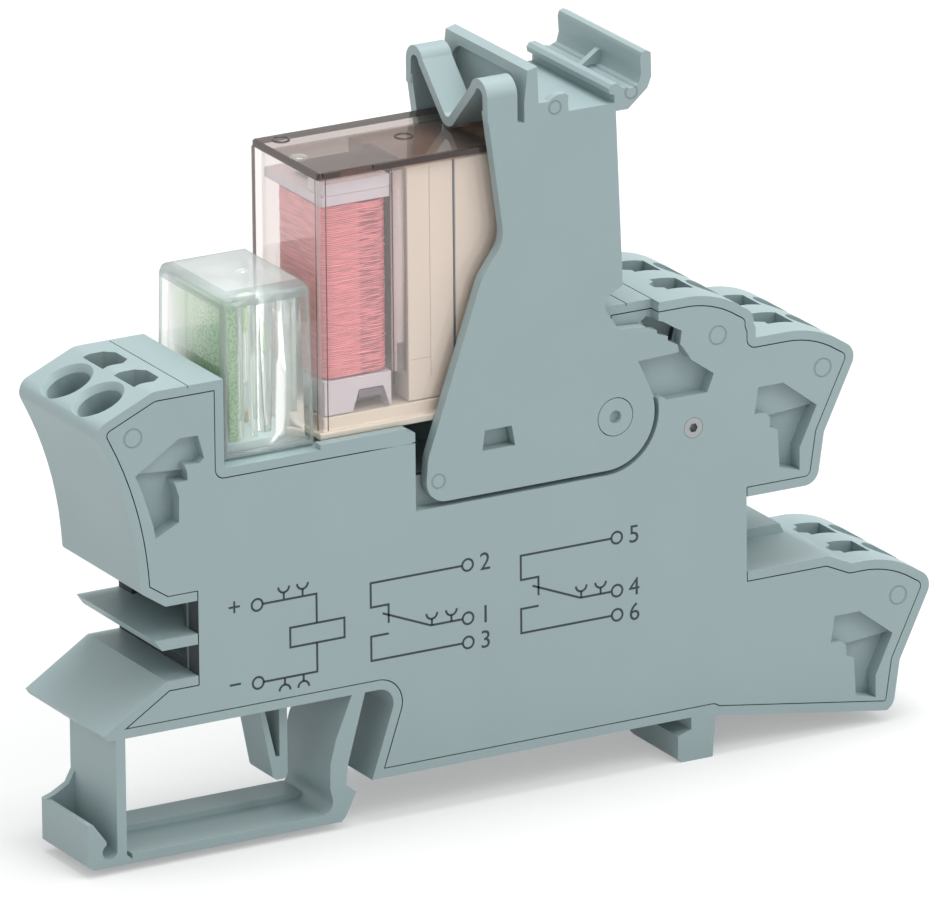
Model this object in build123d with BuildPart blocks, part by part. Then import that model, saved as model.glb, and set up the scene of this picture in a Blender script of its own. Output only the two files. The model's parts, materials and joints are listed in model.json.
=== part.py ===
from build123d import *
from math import atan2, cos, degrees, hypot, radians, sin
import os

os.makedirs("parts", exist_ok=True)

# Relay module for a 35 mm mounting rail, in millimetres.
# The origin is the middle of the rail seat. X runs along the module, Y through it, Z up.

# Module and rail
module_width = 15.0
rail_width = 35.0
rail_play = 0.6
half_width = module_width / 2
rail_edge = (rail_width + rail_play) / 2

# Clearances
slip = 0.15
running_fit = 0.08
lever_gap = 0.2

# Housing heights
seat_z = 0.0
ceiling_z = 8.45
roof_z = 13.05
notch_top_z = 20.1
step_z = 12.9
deck_z = 32.0
left_top_z = 40.3
right_top_z = 40.05

# The row on the deck: tower, relay and indicator, from right to left
tower_x = 9.55
relay_length = 28.5
relay_right = tower_x - 0.35
relay_left = relay_right - relay_length
cap_length = 9.4
cap_left = relay_left - 0.5 - cap_length

# Housing lengths
left_block_x = cap_left - 0.5
body_left = left_block_x - 2.9
body_right = 23.75
catch_x = -rail_edge
seat_left = catch_x + 2.65
slant_top = seat_left + 2.85
rim = 0.85
seam = 0.1
cover_wall = 1.9
pocket_depth = 1.0
pocket_deep = 1.6

# Terminals: where the slope of each nose starts, and the way it points
nose_drop = 2.85
nose_reach = 7.3
nose_foot = 3.0
nose_height = 14.97
station_tier1 = (17.6, right_top_z, 1)
station_tier2 = (28.0, 35.05, 1)
station_tier3 = (35.95, 11.8, 1)
station_left = (left_block_x - 6.5, left_top_z, -1)
wire_radius = 2.1
wire_mouth = 2.6
wire_depth = 3.0
wire_reach = 4.6
wire_tilt = 27.0
slot_width = 3.3
slot_width_left = 3.8
chamber_in = 0.85
chamber_out = half_width - 2.15
pole_y = (chamber_in + chamber_out) / 2 - 0.15

# Foot, catch and hook
foot_depth = 8.8
foot_bottom = -3.4
bar_thick = 0.9
leg_x = body_left - 7.45
leg_thick = 0.95
tongue_depth = 4.4
hook_bottom = -4.15
rail_lip = 1.15

# Retaining lever
pivot_x = 10.1
pivot_z = 30.0
boss_radius = 1.75
heel_x = 9.2
heel_radius = 4.95
plate = 1.1
lever_bottom = 25.05
recess = plate + lever_gap
recess_margin = 0.45
recess_left = -10.4
tooth_radius = 8.65
strap_left = -2.75
strap_width = 3.05
strap = 0.9
strap_top = 63.35
carrier_floor = 58.7
floor_thick = 0.8
spine = 0.85

# Relay
relay_width = 12.5
relay_bottom = 32.4
relay_top = 56.9
relay_wall = 0.7
base_height = 1.75
flange = 0.6
pin_thick = 0.6
pin_wide = 0.9
pin_length = 3.4
pin_row = 2.3
inner_width = relay_width - 2 * relay_wall - 0.3
coil_pin_x = relay_left + 2.3
contact_pin_x = (relay_right - 11.8, relay_right - 6.8, relay_right - 1.8)
coil_x = relay_left + 4.3
coil_width = 6.8
coil_depth = 10.4
coil_bottom = 37.6
coil_top = 53.6
flange_top = 54.7
core_radius = 1.5
bobbin_wall = 0.5
yoke_x = coil_x + 3.7
yoke_thick = 0.8
contact_box_left = yoke_x + 1.45
contact_box_top = 54.9
armature_z = 55.15
armature_thick = 0.6

# Indicator
cap_top = 47.1
cap_wall = 0.7
cap_bottom = deck_z + slip
indicator_pin_x = cap_left + 4.7
bump_x = cap_left + 5.8


def side_view(y):
    return Plane(origin=(0, y, 0), x_dir=(1, 0, 0), z_dir=(0, -1, 0))


def end_view(x):
    return Plane(origin=(x, 0, 0), x_dir=(0, 1, 0), z_dir=(1, 0, 0))


def blank(*corners):
    # A flat shape from its corners, each given as (x, z) or (x, z, round)
    with BuildSketch() as flat:
        with BuildLine():
            Polyline(*[corner[:2] for corner in corners], close=True)
        make_face()
        for corner in corners:
            if len(corner) == 3:
                near = flat.vertices().sort_by_distance(Vector(corner[0], corner[1], 0))[0]
                fillet(near, corner[2])
    return flat.sketch


def station_shape(flat, station):
    # A shape drawn from the start of a right-hand nose, set at a station
    x, z, way = station
    with BuildSketch() as placed:
        with Locations((x, z)):
            add(flat if way > 0 else mirror(flat, about=Plane.YZ, mode=Mode.PRIVATE))
    return placed.sketch


def strip(*points, wide):
    # A flat strip along a bent line
    with BuildSketch() as flat:
        with BuildLine() as path:
            Polyline(*points)
        trace(path.line, line_width=wide)
    return flat.sketch


# The nose of a right-hand terminal, from the start of its slope
with BuildSketch() as nose_shape:
    with BuildLine():
        Line((-6, 0), (0, 0))
        ThreePointArc((0, 0), (3.0, -0.5), (5.6, -1.8))
        Line((5.6, -1.8), (nose_reach, -nose_drop))
        Line((nose_reach, -nose_drop), (3.75, -10.15))
        Line((3.75, -10.15), (nose_foot, -nose_height))
        Line((nose_foot, -nose_height), (-6, -nose_height))
        Line((-6, -nose_height), (-6, 0))
    make_face()
    tip = nose_shape.vertices().sort_by_distance(Vector(nose_reach, -nose_drop, 0))[0]
    fillet(tip, 1.5)
    heel = nose_shape.vertices().sort_by_distance(Vector(nose_foot, -nose_height, 0))[0]
    fillet(heel, 1.5)

# Left terminal block with its hollow flank, from its wall beside the indicator
with BuildSketch() as left_block:
    with BuildLine():
        Polyline((0, left_top_z), (-7.0, left_top_z), (-13.05, 37.65), (-11.5, 34.4))
        ThreePointArc((-11.5, 34.4), (-9.65, 29.2), (-8.65, 23.6))
        Polyline((-8.65, 23.6), (-8.5, 21.7), (-6.1, notch_top_z), (0, notch_top_z), (0, left_top_z))
    make_face()
    for x, z, radius in ((-7.0, left_top_z, 2.0), (-13.05, 37.65, 1.4), (-8.5, 21.7, 0.5)):
        fillet(left_block.vertices().sort_by_distance(Vector(x, z, 0))[0], radius)

# The closed outline that the cover follows
with BuildSketch() as shell_outline:
    add(Pos(left_block_x, 0) * left_block.sketch)
    add(blank((body_left, ceiling_z), (body_left, deck_z), (body_right, deck_z), (body_right, ceiling_z)))
    add(blank((body_left, roof_z), (body_left - 3.2, roof_z), (body_left - 9.6, 9.0),
              (body_left - 9.2, ceiling_z), (body_left, ceiling_z)))
    add(blank((slant_top, ceiling_z), (body_right, ceiling_z), (body_right, seat_z),
              (seat_left, seat_z)))
    add(blank((tower_x, deck_z - 1), (tower_x, right_top_z), (17.6, right_top_z), (23.0, 33.0),
              (23.0, deck_z - 1)))
    with BuildSketch(mode=Mode.PRIVATE) as tower_nose:
        add(station_shape(nose_shape.sketch, station_tier1))
        add(blank((10.0, 34.0), (10.0, 45.0), (30.0, 45.0), (30.0, 34.0)), mode=Mode.INTERSECT)
    add(tower_nose.sketch)
    add(blank((20.0, 34.0), (20.0, 37.0), (24.3, 36.8), (24.65, 36.0), (24.65, 34.0)))
    add(station_shape(nose_shape.sketch, station_tier2))
    add(blank((20.0, 24.0), (20.0, station_tier2[1]), (28.0, station_tier2[1]), (28.0, 24.0)))
    add(blank((body_right - 2, notch_top_z - 0.02), (body_right - 2, 30.0), (28.0, 30.0),
              (28.0, notch_top_z - 0.02)))
    with BuildSketch(mode=Mode.PRIVATE) as low_nose:
        add(station_shape(nose_shape.sketch, station_tier3))
        add(blank((20.0, 3.0), (20.0, step_z), (32.2, step_z), (34.6, station_tier3[1]),
                  (36.5, station_tier3[1] - 0.02), (36.5, -3.0), (20.0, -3.0)))
        add(blank((20.0, seat_z - 0.2), (20.0, 20.0), (45.0, 20.0), (45.0, -3.0), (38.2, -3.0)),
            mode=Mode.INTERSECT)
    add(low_nose.sketch)
    fillet(shell_outline.vertices().sort_by_distance(Vector(slant_top, ceiling_z, 0))[0], 1.5)

# The cover lies inside a rim of the housing and reaches the walls of both side notches
with BuildSketch() as cover_outline:
    add(shell_outline.sketch)
    offset(amount=-rim, kind=Kind.ARC, mode=Mode.REPLACE)
    add(blank((body_left, roof_z - rim), (body_left, notch_top_z + rim),
              (body_left + 1.6, notch_top_z + rim), (body_left + 1.6, roof_z - rim)))
    add(blank((body_right, step_z - rim), (body_right, notch_top_z + rim),
              (22.0, notch_top_z + rim), (22.0, step_z - rim)))

# The lever lies in a recess of this outline, which opens at the top of the tower
recess_right = heel_x + heel_radius + recess_margin
with BuildSketch() as lever_recess:
    add(blank((recess_left, lever_bottom - recess_margin), (heel_x, lever_bottom - recess_margin),
              (heel_x, 30.0), (14.6, 31.6), (16.7, 35.0), (17.0, 37.0), (15.0, 38.05),
              (recess_right, 38.25), (recess_right, 46.0), (recess_left, 46.0)))
    with Locations((heel_x, pivot_z)):
        Circle(heel_radius + recess_margin)
    add(blank((12.0, 34.9), (12.0, 31.0), (15.1, 31.0), (15.4, 30.7), (19.6, 30.7), (20.3, 32.4),
              (16.7, 35.0)))
    with BuildSketch(mode=Mode.PRIVATE) as swing_room:
        with Locations((pivot_x, pivot_z)):
            Circle(tooth_radius + lever_gap)
        add(blank((12.0, 31.5), (12.0, 38.0), (20.0, 38.0), (20.0, 31.5)), mode=Mode.INTERSECT)
    add(swing_room.sketch)

# A test pocket beside each clamp, with its two steps; the left one is a little wider
pocket = blank((-3.1, -4.75), (-0.5, -4.75), (3.0, -7.45), (1.2, -11.25), (1.2, -13.35),
               (-0.9, -12.75), (-1.1, -9.1), (-1.9, -8.75), (-1.9, -7.75), (-2.4, -7.3),
               (-3.5, -7.25))
pocket_left = blank((-4.5, -7.0), (-3.9, -4.8), (-2.0, -4.75), (2.4, -7.55), (1.7, -9.25),
                    (0.7, -12.45), (0.45, -13.7), (-1.9, -12.55), (-1.95, -10.2),
                    (-1.5, -8.8), (-2.8, -8.8), (-2.8, -8.1), (-2.5, -7.3), (-4.0, -7.4))
pocket_low = blank((-6.0, -8.3), (6.0, -7.4), (6.0, -16.0), (-6.0, -16.0))

# A clamp chamber, an operating slot and a wire funnel for each pole of a terminal
chamber = blank((-2.4, -3.6), (0.9, -3.6), (1.3, -3.1), (5.0, -4.95), (4.3, -6.4), (1.8, -10.6),
                (-1.1, -10.6), (-1.7, -7.6), (-2.4, -6.6))
stations = (station_tier1, station_tier2, station_tier3, station_left)


def slot_outline(station):
    # A pointed operating slot, seen from above and drawn from the station
    x, z, way = station
    if way < 0:
        half = slot_width_left / 2
        return blank((x - 1.0, half), (x + 1.05, half), (x + 1.9, 1.1), (x + 1.9, -1.1),
                     (x + 1.05, -half), (x - 1.0, -half))
    half = slot_width / 2
    return blank((x + 2.3, half), (x - 0.4, half), (x - 0.4, 1.0), (x - 1.1, 0.5), (x - 1.1, -0.5),
                 (x - 0.4, -1.0), (x - 0.4, -half), (x + 2.3, -half))


def wire_plane(station, pole):
    # The mouth of a wire funnel, square to the slope
    x, z, way = station
    drop = 1.35 if way > 0 else 1.4
    reach = wire_reach if way > 0 else 3.7
    tilt = wire_tilt if way > 0 else 23.5
    outward = (way * sin(radians(tilt)), 0, cos(radians(tilt)))
    return Plane(origin=(x + way * reach, pole * pole_y, z - drop), x_dir=(0, 1, 0), z_dir=outward)


# Busbars: a fork for a relay pin, then a bent strip to the clamp
bar_wide = 1.8
bar_thick_y = 0.8
bar_in = chamber_in + slip
bar_out = bar_in + bar_thick_y
fork_out = 3.3
fork_top = 31.4
fork_bottom = 28.2
fork_wide = 2.2
tier1_bar = ((contact_pin_x[2], 29.0), (contact_pin_x[2], 26.6), (17.0, 26.6), (17.0, 32.0))
tier2_bar = ((contact_pin_x[1], 29.0), (contact_pin_x[1], 22.9), (27.9, 22.9), (27.9, 27.0))
tier3_bar = ((contact_pin_x[0], 29.0), (contact_pin_x[0], 9.2), (30.0, 9.2), (30.0, 0.2),
             (35.8, 0.2), (35.8, 4.0))
coil_bar = ((coil_pin_x, 29.0), (coil_pin_x, 26.0), (station_left[0] + 0.1, 26.0),
            (station_left[0] + 0.1, 32.0))
bars = {"break": (tier1_bar, (contact_pin_x[2],)), "common": (tier2_bar, (contact_pin_x[1],)),
        "make": (tier3_bar, (contact_pin_x[0],)), "coil": (coil_bar, (coil_pin_x, indicator_pin_x))}

# Housing: one moulding with the rail foot, the catch, the stop tongue and the hook
lug_x = 3.8
lug_z = 31.2
lug_radius = 0.9
lug_inner = 5.0
rivet_x = 18.15
rivet_z = 27.6
rivet_radius = 0.95
rivet_length = 4.4
notch_hollow = 10.0
gusset = 0.8
with BuildPart() as housing:
    with BuildSketch(side_view(-half_width)):
        add(shell_outline.sketch)
    extrude(amount=-module_width)
    # Hollows behind the left notch, and the cooling fin between them
    with BuildSketch(side_view(-notch_hollow / 2)):
        add(blank((body_left - 1, 13.9), (body_left - 1, 19.25), (body_left + 5, 19.25),
                  (body_left + 5, 13.9)))
    extrude(amount=-notch_hollow, mode=Mode.SUBTRACT)
    with BuildSketch(side_view(-half_width)):
        add(blank((body_left + 6, 16.0), (body_left - 3.6, 16.0), (body_left - 4.3, 17.0),
                  (body_left + 6, 17.0)))
    extrude(amount=-module_width)
    # Leg and lip of the foot
    with BuildSketch(side_view(-half_width)):
        add(blank((leg_x, ceiling_z + 0.5), (leg_x, foot_bottom + bar_thick),
                  (leg_x + 1.05, foot_bottom), (leg_x - 3.35, foot_bottom), (leg_x - 3.9, -3.0),
                  (leg_x - 3.9, 0.95), (leg_x - 3.35, 0.9), (leg_x - 2.05, -0.9),
                  (leg_x - 2.05, -1.9), (leg_x - leg_thick, -1.9),
                  (leg_x - leg_thick, ceiling_z + 0.5)))
        with Locations((leg_x - leg_thick - 0.75, -1.9)):
            Circle(0.75, mode=Mode.SUBTRACT)
    extrude(amount=-foot_depth)
    with BuildSketch(side_view(-half_width + foot_depth - gusset)):
        add(blank((leg_x, -2.5), (leg_x - 3.9, -2.5), (leg_x - 3.9, 0.95), (leg_x - 3.0, 1.25),
                  (leg_x - 1.6, 2.0), (leg_x - leg_thick, 3.2), (leg_x, 3.2)))
    extrude(amount=-gusset)
    # Bar of the foot, with the catch arm
    with BuildSketch(side_view(-half_width)):
        add(blank((leg_x + 0.55, foot_bottom), (leg_x + 0.55, foot_bottom + bar_thick),
                  (catch_x - 1.05, foot_bottom + bar_thick, 1.2), (catch_x - 1.65, 0.0),
                  (catch_x - 1.6, 2.2), (catch_x - 1.0, 4.5), (catch_x + 0.8, ceiling_z + 0.3),
                  (catch_x + 2.1, ceiling_z + 0.3), (catch_x + 0.9, 4.5), (catch_x + 0.2, 2.0),
                  (catch_x, 0.05), (catch_x + 1.0, -0.8), (catch_x - 0.1, -3.0),
                  (catch_x - 0.55, foot_bottom)))
    extrude(amount=-foot_depth)
    with BuildSketch(side_view(-half_width + 5.4)):
        add(blank((leg_x - 0.3, foot_bottom + 0.2), (leg_x - 0.3, foot_bottom + bar_thick + 0.55),
                  (catch_x - 1.7, foot_bottom + bar_thick + 0.55),
                  (catch_x - 0.8, foot_bottom + 0.2)))
    extrude(amount=-(foot_depth - 5.4))
    # Stop tongue between the leg and the catch
    with BuildSketch(side_view(-half_width + (foot_depth - tongue_depth) / 2)):
        add(blank((catch_x - 7.7, ceiling_z + 0.3), (catch_x - 6.2, 0.9, 0.6),
                  (catch_x - 4.75, 0.9, 0.6), (catch_x - 4.75, ceiling_z + 0.3)))
    extrude(amount=-tongue_depth)
    with BuildSketch(side_view(-half_width)):
        add(blank((catch_x - 7.2, ceiling_z), (catch_x - 5.95, 3.1), (catch_x - 5.55, 3.1),
                  (catch_x - 5.55, ceiling_z)))
    extrude(amount=-foot_depth, mode=Mode.SUBTRACT)
    # Fixed hook
    with BuildSketch(side_view(-half_width)):
        add(blank((rail_edge, seat_z + 0.6), (rail_edge, -rail_lip), (rail_edge - 1.4, -1.6),
                  (rail_edge - 1.4, hook_bottom + 0.4), (rail_edge - 1.0, hook_bottom),
                  (rail_edge + 2.2, hook_bottom), (rail_edge + 2.55, -0.2),
                  (rail_edge + 2.55, seat_z + 0.6)))
    extrude(amount=-foot_depth)
    # Well between the coil pins and the contact pins
    with BuildSketch(side_view(-half_width)):
        add(blank((recess_left, 27.5), (recess_left, deck_z + 1), (-4.6, deck_z + 1), (-4.6, 27.5)))
    extrude(amount=-module_width, mode=Mode.SUBTRACT)
    # Recesses for both plates of the lever
    with BuildSketch(side_view(-half_width)):
        add(lever_recess.sketch)
    extrude(amount=-recess, mode=Mode.SUBTRACT)
    with BuildSketch(side_view(half_width - recess)):
        add(lever_recess.sketch)
    extrude(amount=-recess, mode=Mode.SUBTRACT)
    # Seat for the cover
    with BuildSketch(side_view(-half_width)):
        add(cover_outline.sketch)
    extrude(amount=-(cover_wall + slip), mode=Mode.SUBTRACT)
    # Gap beside the lever's lifting lugs
    for pole in (-1, 1):
        with BuildSketch(side_view(-half_width if pole < 0 else lug_inner - lever_gap)):
            add(blank((lug_x - 1.9, 29.8), (lug_x - 1.9, deck_z + 1), (lug_x + 2.9, deck_z + 1),
                      (lug_x + 2.9, 29.8)))
        extrude(amount=-(half_width - lug_inner + lever_gap), mode=Mode.SUBTRACT)
    # Boss for the lever on the closed side
    with BuildSketch(side_view(half_width - recess - 0.3)):
        with Locations((pivot_x, pivot_z)):
            Circle(boss_radius)
    extrude(amount=-(recess + 0.3))
    # Chambers, slots and funnels of the eight clamps
    for station in stations:
        for pole in (-1, 1):
            near = min(pole * chamber_in, pole * chamber_out)
            with BuildSketch(side_view(near)):
                add(station_shape(chamber, station))
            extrude(amount=-(chamber_out - chamber_in), mode=Mode.SUBTRACT)
            with BuildSketch(Plane.XY.offset(station[1] + 1)):
                with Locations((0, pole * pole_y)):
                    add(slot_outline(station))
            extrude(amount=-5.2, mode=Mode.SUBTRACT)
            with BuildSketch(wire_plane(station, pole).offset(1.0)):
                Circle(wire_radius)
            extrude(amount=-(wire_depth + 1.0), mode=Mode.SUBTRACT)
    # The two wire funnels of the left block open a little wider
    for pole in (-1, 1):
        with Locations(wire_plane(station_left, pole).offset(0.1).location):
            Cone(wire_radius, wire_mouth + 0.1, 0.7, align=(Align.CENTER, Align.CENTER, Align.MAX),
                 mode=Mode.SUBTRACT)
    # Slots for the busbars and their forks
    for path, pins_x in bars.values():
        for pole in (-1, 1):
            near = min(pole * chamber_in, pole * (bar_out + slip))
            with BuildSketch(side_view(near)):
                add(strip(*path, wide=bar_wide + 2 * slip))
                for pin_x in pins_x[1:]:
                    add(strip((pin_x, path[1][1]), (pin_x, 29.0), wide=bar_wide + 2 * slip))
            extrude(amount=-(bar_thick_y + 2 * slip), mode=Mode.SUBTRACT)
            near = min(pole * chamber_in, pole * (fork_out + slip))
            with BuildSketch(side_view(near)):
                for pin_x in pins_x:
                    with Locations((pin_x, (fork_bottom + deck_z) / 2)):
                        Rectangle(fork_wide + 2 * slip, deck_z - fork_bottom + 2 * slip)
            extrude(amount=-(fork_out + slip - chamber_in), mode=Mode.SUBTRACT)
    # Hole for the rivet that holds the cover
    with BuildSketch(side_view(-half_width)):
        with Locations((rivet_x, rivet_z)):
            Circle(rivet_radius + 0.03)
    extrude(amount=-(rivet_length + slip), mode=Mode.SUBTRACT)
    # Platform at the back of the right notch, and a low rail in front of the relay
    with BuildSketch(side_view(0.5)):
        add(blank((body_right - 1, step_z - 0.5), (body_right - 1, step_z + 0.9),
                  (31.7, step_z + 0.9), (32.3, step_z - 0.3), (31.0, step_z - 0.5)))
    extrude(amount=-(half_width - 0.5))
    with BuildSketch(side_view(-half_width)):
        add(blank((relay_left - 0.7, deck_z - 0.7), (relay_left - 0.7, deck_z + 0.5),
                  (yoke_x + 0.1, deck_z + 0.5), (yoke_x + 0.1, deck_z - 0.5),
                  (yoke_x + 0.8, deck_z - 1.0)))
    extrude(amount=-1.05)
    # Mould lines across the tops
    for x, z in ((station_left[0] + 2.95, left_top_z), (12.0, right_top_z), (14.6, right_top_z)):
        with Locations((x, 0, z)):
            Box(0.12, module_width + 1, 0.5, mode=Mode.SUBTRACT)
housing.part.label = "housing"
export_step(housing.part, "parts/housing.step")

# Front cover with its pockets, the lever's recess and the boss
opening = blank((13.5, 38.1), (14.05, 38.5), (15.1, 38.15), (16.95, 36.95), (16.65, 35.8), (15.2, 36.0))
with BuildPart() as front_cover:
    with BuildSketch(side_view(-half_width)):
        add(cover_outline.sketch)
        offset(amount=-seam, kind=Kind.ARC, mode=Mode.REPLACE)
        add(blank((body_left - 12, 6.0), (body_left - 12, 11.5), (body_left - 7.1, 11.5),
                  (body_left - 7.1, 6.0)), mode=Mode.SUBTRACT)
    extrude(amount=-cover_wall)
    with BuildSketch(side_view(-half_width)):
        add(lever_recess.sketch)
    extrude(amount=-recess, mode=Mode.SUBTRACT)
    for station, flat in ((station_tier2, pocket), (station_tier3, pocket), (station_left, pocket_left)):
        with BuildSketch(side_view(-half_width)):
            add(station_shape(flat, station))
        extrude(amount=-pocket_depth, mode=Mode.SUBTRACT)
        with BuildSketch(side_view(-half_width)):
            add(station_shape(flat, station))
            add(station_shape(pocket_low, station), mode=Mode.INTERSECT)
        extrude(amount=-pocket_deep, mode=Mode.SUBTRACT)
    with BuildSketch(side_view(-half_width)):
        add(opening)
    extrude(amount=-cover_wall, mode=Mode.SUBTRACT)
    with BuildSketch(side_view(-half_width)):
        add(blank((recess_left, 27.5), (recess_left, deck_z + 1), (-4.6, deck_z + 1), (-4.6, 27.5)))
        add(blank((lug_x - 1.9, 29.8), (lug_x - 1.9, deck_z + 1), (lug_x + 2.9, deck_z + 1),
                  (lug_x + 2.9, 29.8)))
    extrude(amount=-cover_wall, mode=Mode.SUBTRACT)
    with BuildSketch(side_view(-half_width)):
        with Locations((pivot_x, pivot_z)):
            Circle(boss_radius)
    extrude(amount=seam - recess)
    with BuildSketch(side_view(-half_width)):
        with Locations((pivot_x, pivot_z)):
            Circle(1.05)
    extrude(amount=-cover_wall)
    with BuildSketch(side_view(-half_width)):
        with Locations((pivot_x, pivot_z)):
            Circle(0.6)
    extrude(amount=-0.5, mode=Mode.SUBTRACT)
    with BuildSketch(side_view(-half_width)):
        with Locations((rivet_x, rivet_z)):
            Circle(rivet_radius + 0.03)
    extrude(amount=-cover_wall, mode=Mode.SUBTRACT)
front_cover.part.label = "front_cover"
export_step(front_cover.part, "parts/front_cover.step")

with BuildPart() as cover_rivet:
    with BuildSketch(side_view(-half_width)):
        with Locations((rivet_x, rivet_z)):
            Circle(rivet_radius)
    extrude(amount=-rivet_length)
    with BuildSketch(side_view(-half_width)):
        with Locations((rivet_x, rivet_z)):
            RegularPolygon(0.45, 6)
    extrude(amount=-0.6, mode=Mode.SUBTRACT)
cover_rivet.part.label = "cover_rivet"
export_step(cover_rivet.part, "parts/cover_rivet.step")

# Eight clamp springs, bent from one strip each
clamp_thick = 0.4
clamp_inner = 2.1
clamp_outer = chamber_out - slip
clamp_shape = strip((0.2, -10.2), (-0.8, -8.2), (-1.4, -6.9), (-0.9, -5.8), (1.5, -5.8), (2.4, -6.8),
                    (1.7, -8.9), wide=clamp_thick)
station_names = ("break", "common", "make", "coil")
for name, station in zip(station_names, stations):
    for pole, side in ((-1, "front"), (1, "back")):
        with BuildPart() as clamp:
            with BuildSketch(side_view(min(pole * clamp_inner, pole * clamp_outer))):
                add(station_shape(clamp_shape, station))
            extrude(amount=-(clamp_outer - clamp_inner))
        clamp.part.label = f"clamp_{name}_{side}"
        export_step(clamp.part, f"parts/clamp_{name}_{side}.step")

# Eight busbars, each with a fork for the relay's pin
fork_base = 0.6
for name, (path, pins_x) in bars.items():
    for pole, side in ((-1, "front"), (1, "back")):
        with BuildPart() as busbar:
            with BuildSketch(side_view(min(pole * bar_in, pole * bar_out))):
                add(strip(*path, wide=bar_wide))
                for pin_x in pins_x[1:]:
                    add(strip((pin_x, path[1][1]), (pin_x, 29.0), wide=bar_wide))
            extrude(amount=-bar_thick_y)
            with BuildSketch(side_view(min(pole * bar_in, pole * fork_out))):
                for pin_x in pins_x:
                    with Locations((pin_x, (fork_bottom + fork_top) / 2)):
                        Rectangle(fork_wide, fork_top - fork_bottom)
            extrude(amount=-(fork_out - bar_in))
            with BuildSketch(side_view(min(pole * bar_out, pole * (bar_out + 1.0)))):
                for pin_x in pins_x:
                    with Locations((pin_x, (fork_bottom + fork_base + fork_top + 1) / 2)):
                        Rectangle(fork_wide + 1, fork_top + 1 - fork_bottom - fork_base)
            extrude(amount=-1.0, mode=Mode.SUBTRACT)
        busbar.part.label = f"busbar_{name}_{side}"
        export_step(busbar.part, f"parts/busbar_{name}_{side}.step")

# Retaining lever: two plates, a spine, the M spring and the marker carrier in one moulding
teeth = 3
tooth_start = 41.5
tooth_pitch = 9.3
tooth_depth = 0.32
strap_right = strap_left + strap_width
slot_right = strap_right + 0.7
slot_bottom = 59.1
carrier_left = slot_right
carrier_right = 13.95
tooth_line = []
for index in range(teeth):
    for turn, radius in ((0, tooth_radius), (0.82, tooth_radius - tooth_depth)):
        angle = radians(tooth_start + (index + turn) * tooth_pitch)
        tooth_line.append((pivot_x + radius * cos(angle), pivot_z + radius * sin(angle)))
with BuildSketch() as lever_plate:
    add(blank((strap_left, 60.5), (-1.15, 48.5, 3.0), (-3.45, 45.3, 2.5), (-9.1, 29.3, 4.0),
              (-9.45, lever_bottom, 2.0), (heel_x, lever_bottom), (heel_x, pivot_z), (14.1, 31.2),
              (12.5, 34.85), (16.7, 35.0), *tooth_line, (13.2, 38.0), (10.5, 38.2, 1.2),
              (9.15, 40.2, 1.5), (9.15, 41.35), (10.95, 42.3), (10.35, carrier_floor), (10.35, 59.4),
              (slot_right, 59.4), (slot_right, slot_bottom), (strap_right, slot_bottom),
              (strap_right, 60.5)))
    with Locations((heel_x, pivot_z)):
        Circle(heel_radius)
    with Locations((pivot_x, pivot_z)):
        Circle(boss_radius + running_fit, mode=Mode.SUBTRACT)
    add(blank((-3.55, 29.1), (-3.3, 31.0), (-0.55, 31.0), (-0.2, 29.1)), mode=Mode.SUBTRACT)
strap_low = relay_top + 0.5 + strap / 2
with BuildSketch() as strap_shape:
    with BuildLine() as strap_path:
        side_y = half_width - strap / 2
        Line((-side_y, 59.6), (-side_y, 61.8))
        ThreePointArc((-side_y, 61.8), (-5.85, strap_top - strap / 2), (-4.75, 62.1))
        Line((-4.75, 62.1), (-0.9, strap_low + 0.4))
        ThreePointArc((-0.9, strap_low + 0.4), (0, strap_low), (0.9, strap_low + 0.4))
        Line((0.9, strap_low + 0.4), (4.75, 62.1))
        ThreePointArc((4.75, 62.1), (5.85, strap_top - strap / 2), (side_y, 61.8))
        Line((side_y, 61.8), (side_y, 59.6))
    trace(strap_path.line, line_width=strap)
carrier_shape = blank((carrier_left, carrier_floor), (carrier_left, 61.0), (1.35, 63.9),
                      (2.35, 64.15), (2.45, 60.7), (2.45, carrier_floor + floor_thick),
                      (10.2, carrier_floor + floor_thick), (10.2, 60.2), (9.7, 60.4),
                      (9.6, 60.9), (9.9, 61.25), (10.5, 61.3), (11.0, 60.8), (12.0, 60.6),
                      (12.7, 60.9), (12.95, 61.8), (12.85, 63.3), (13.0, 63.75), (13.4, 63.9),
                      (carrier_right, 63.65), (carrier_right + 0.05, 61.4), (13.6, 60.4),
                      (11.6, carrier_floor))
end_shape = blank((2.0, carrier_floor), (2.0, 60.7), (3.5, 60.7), (4.0, 61.05), (4.5, 61.2),
                  (5.2, 61.2), (5.5, 60.95), (5.45, 60.2), (5.6, carrier_floor + 0.2))
rib_shape = blank((10.8, 60.5), (10.8, 60.95), (12.6, 62.2), (13.2, 62.2), (13.2, 60.5))
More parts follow.
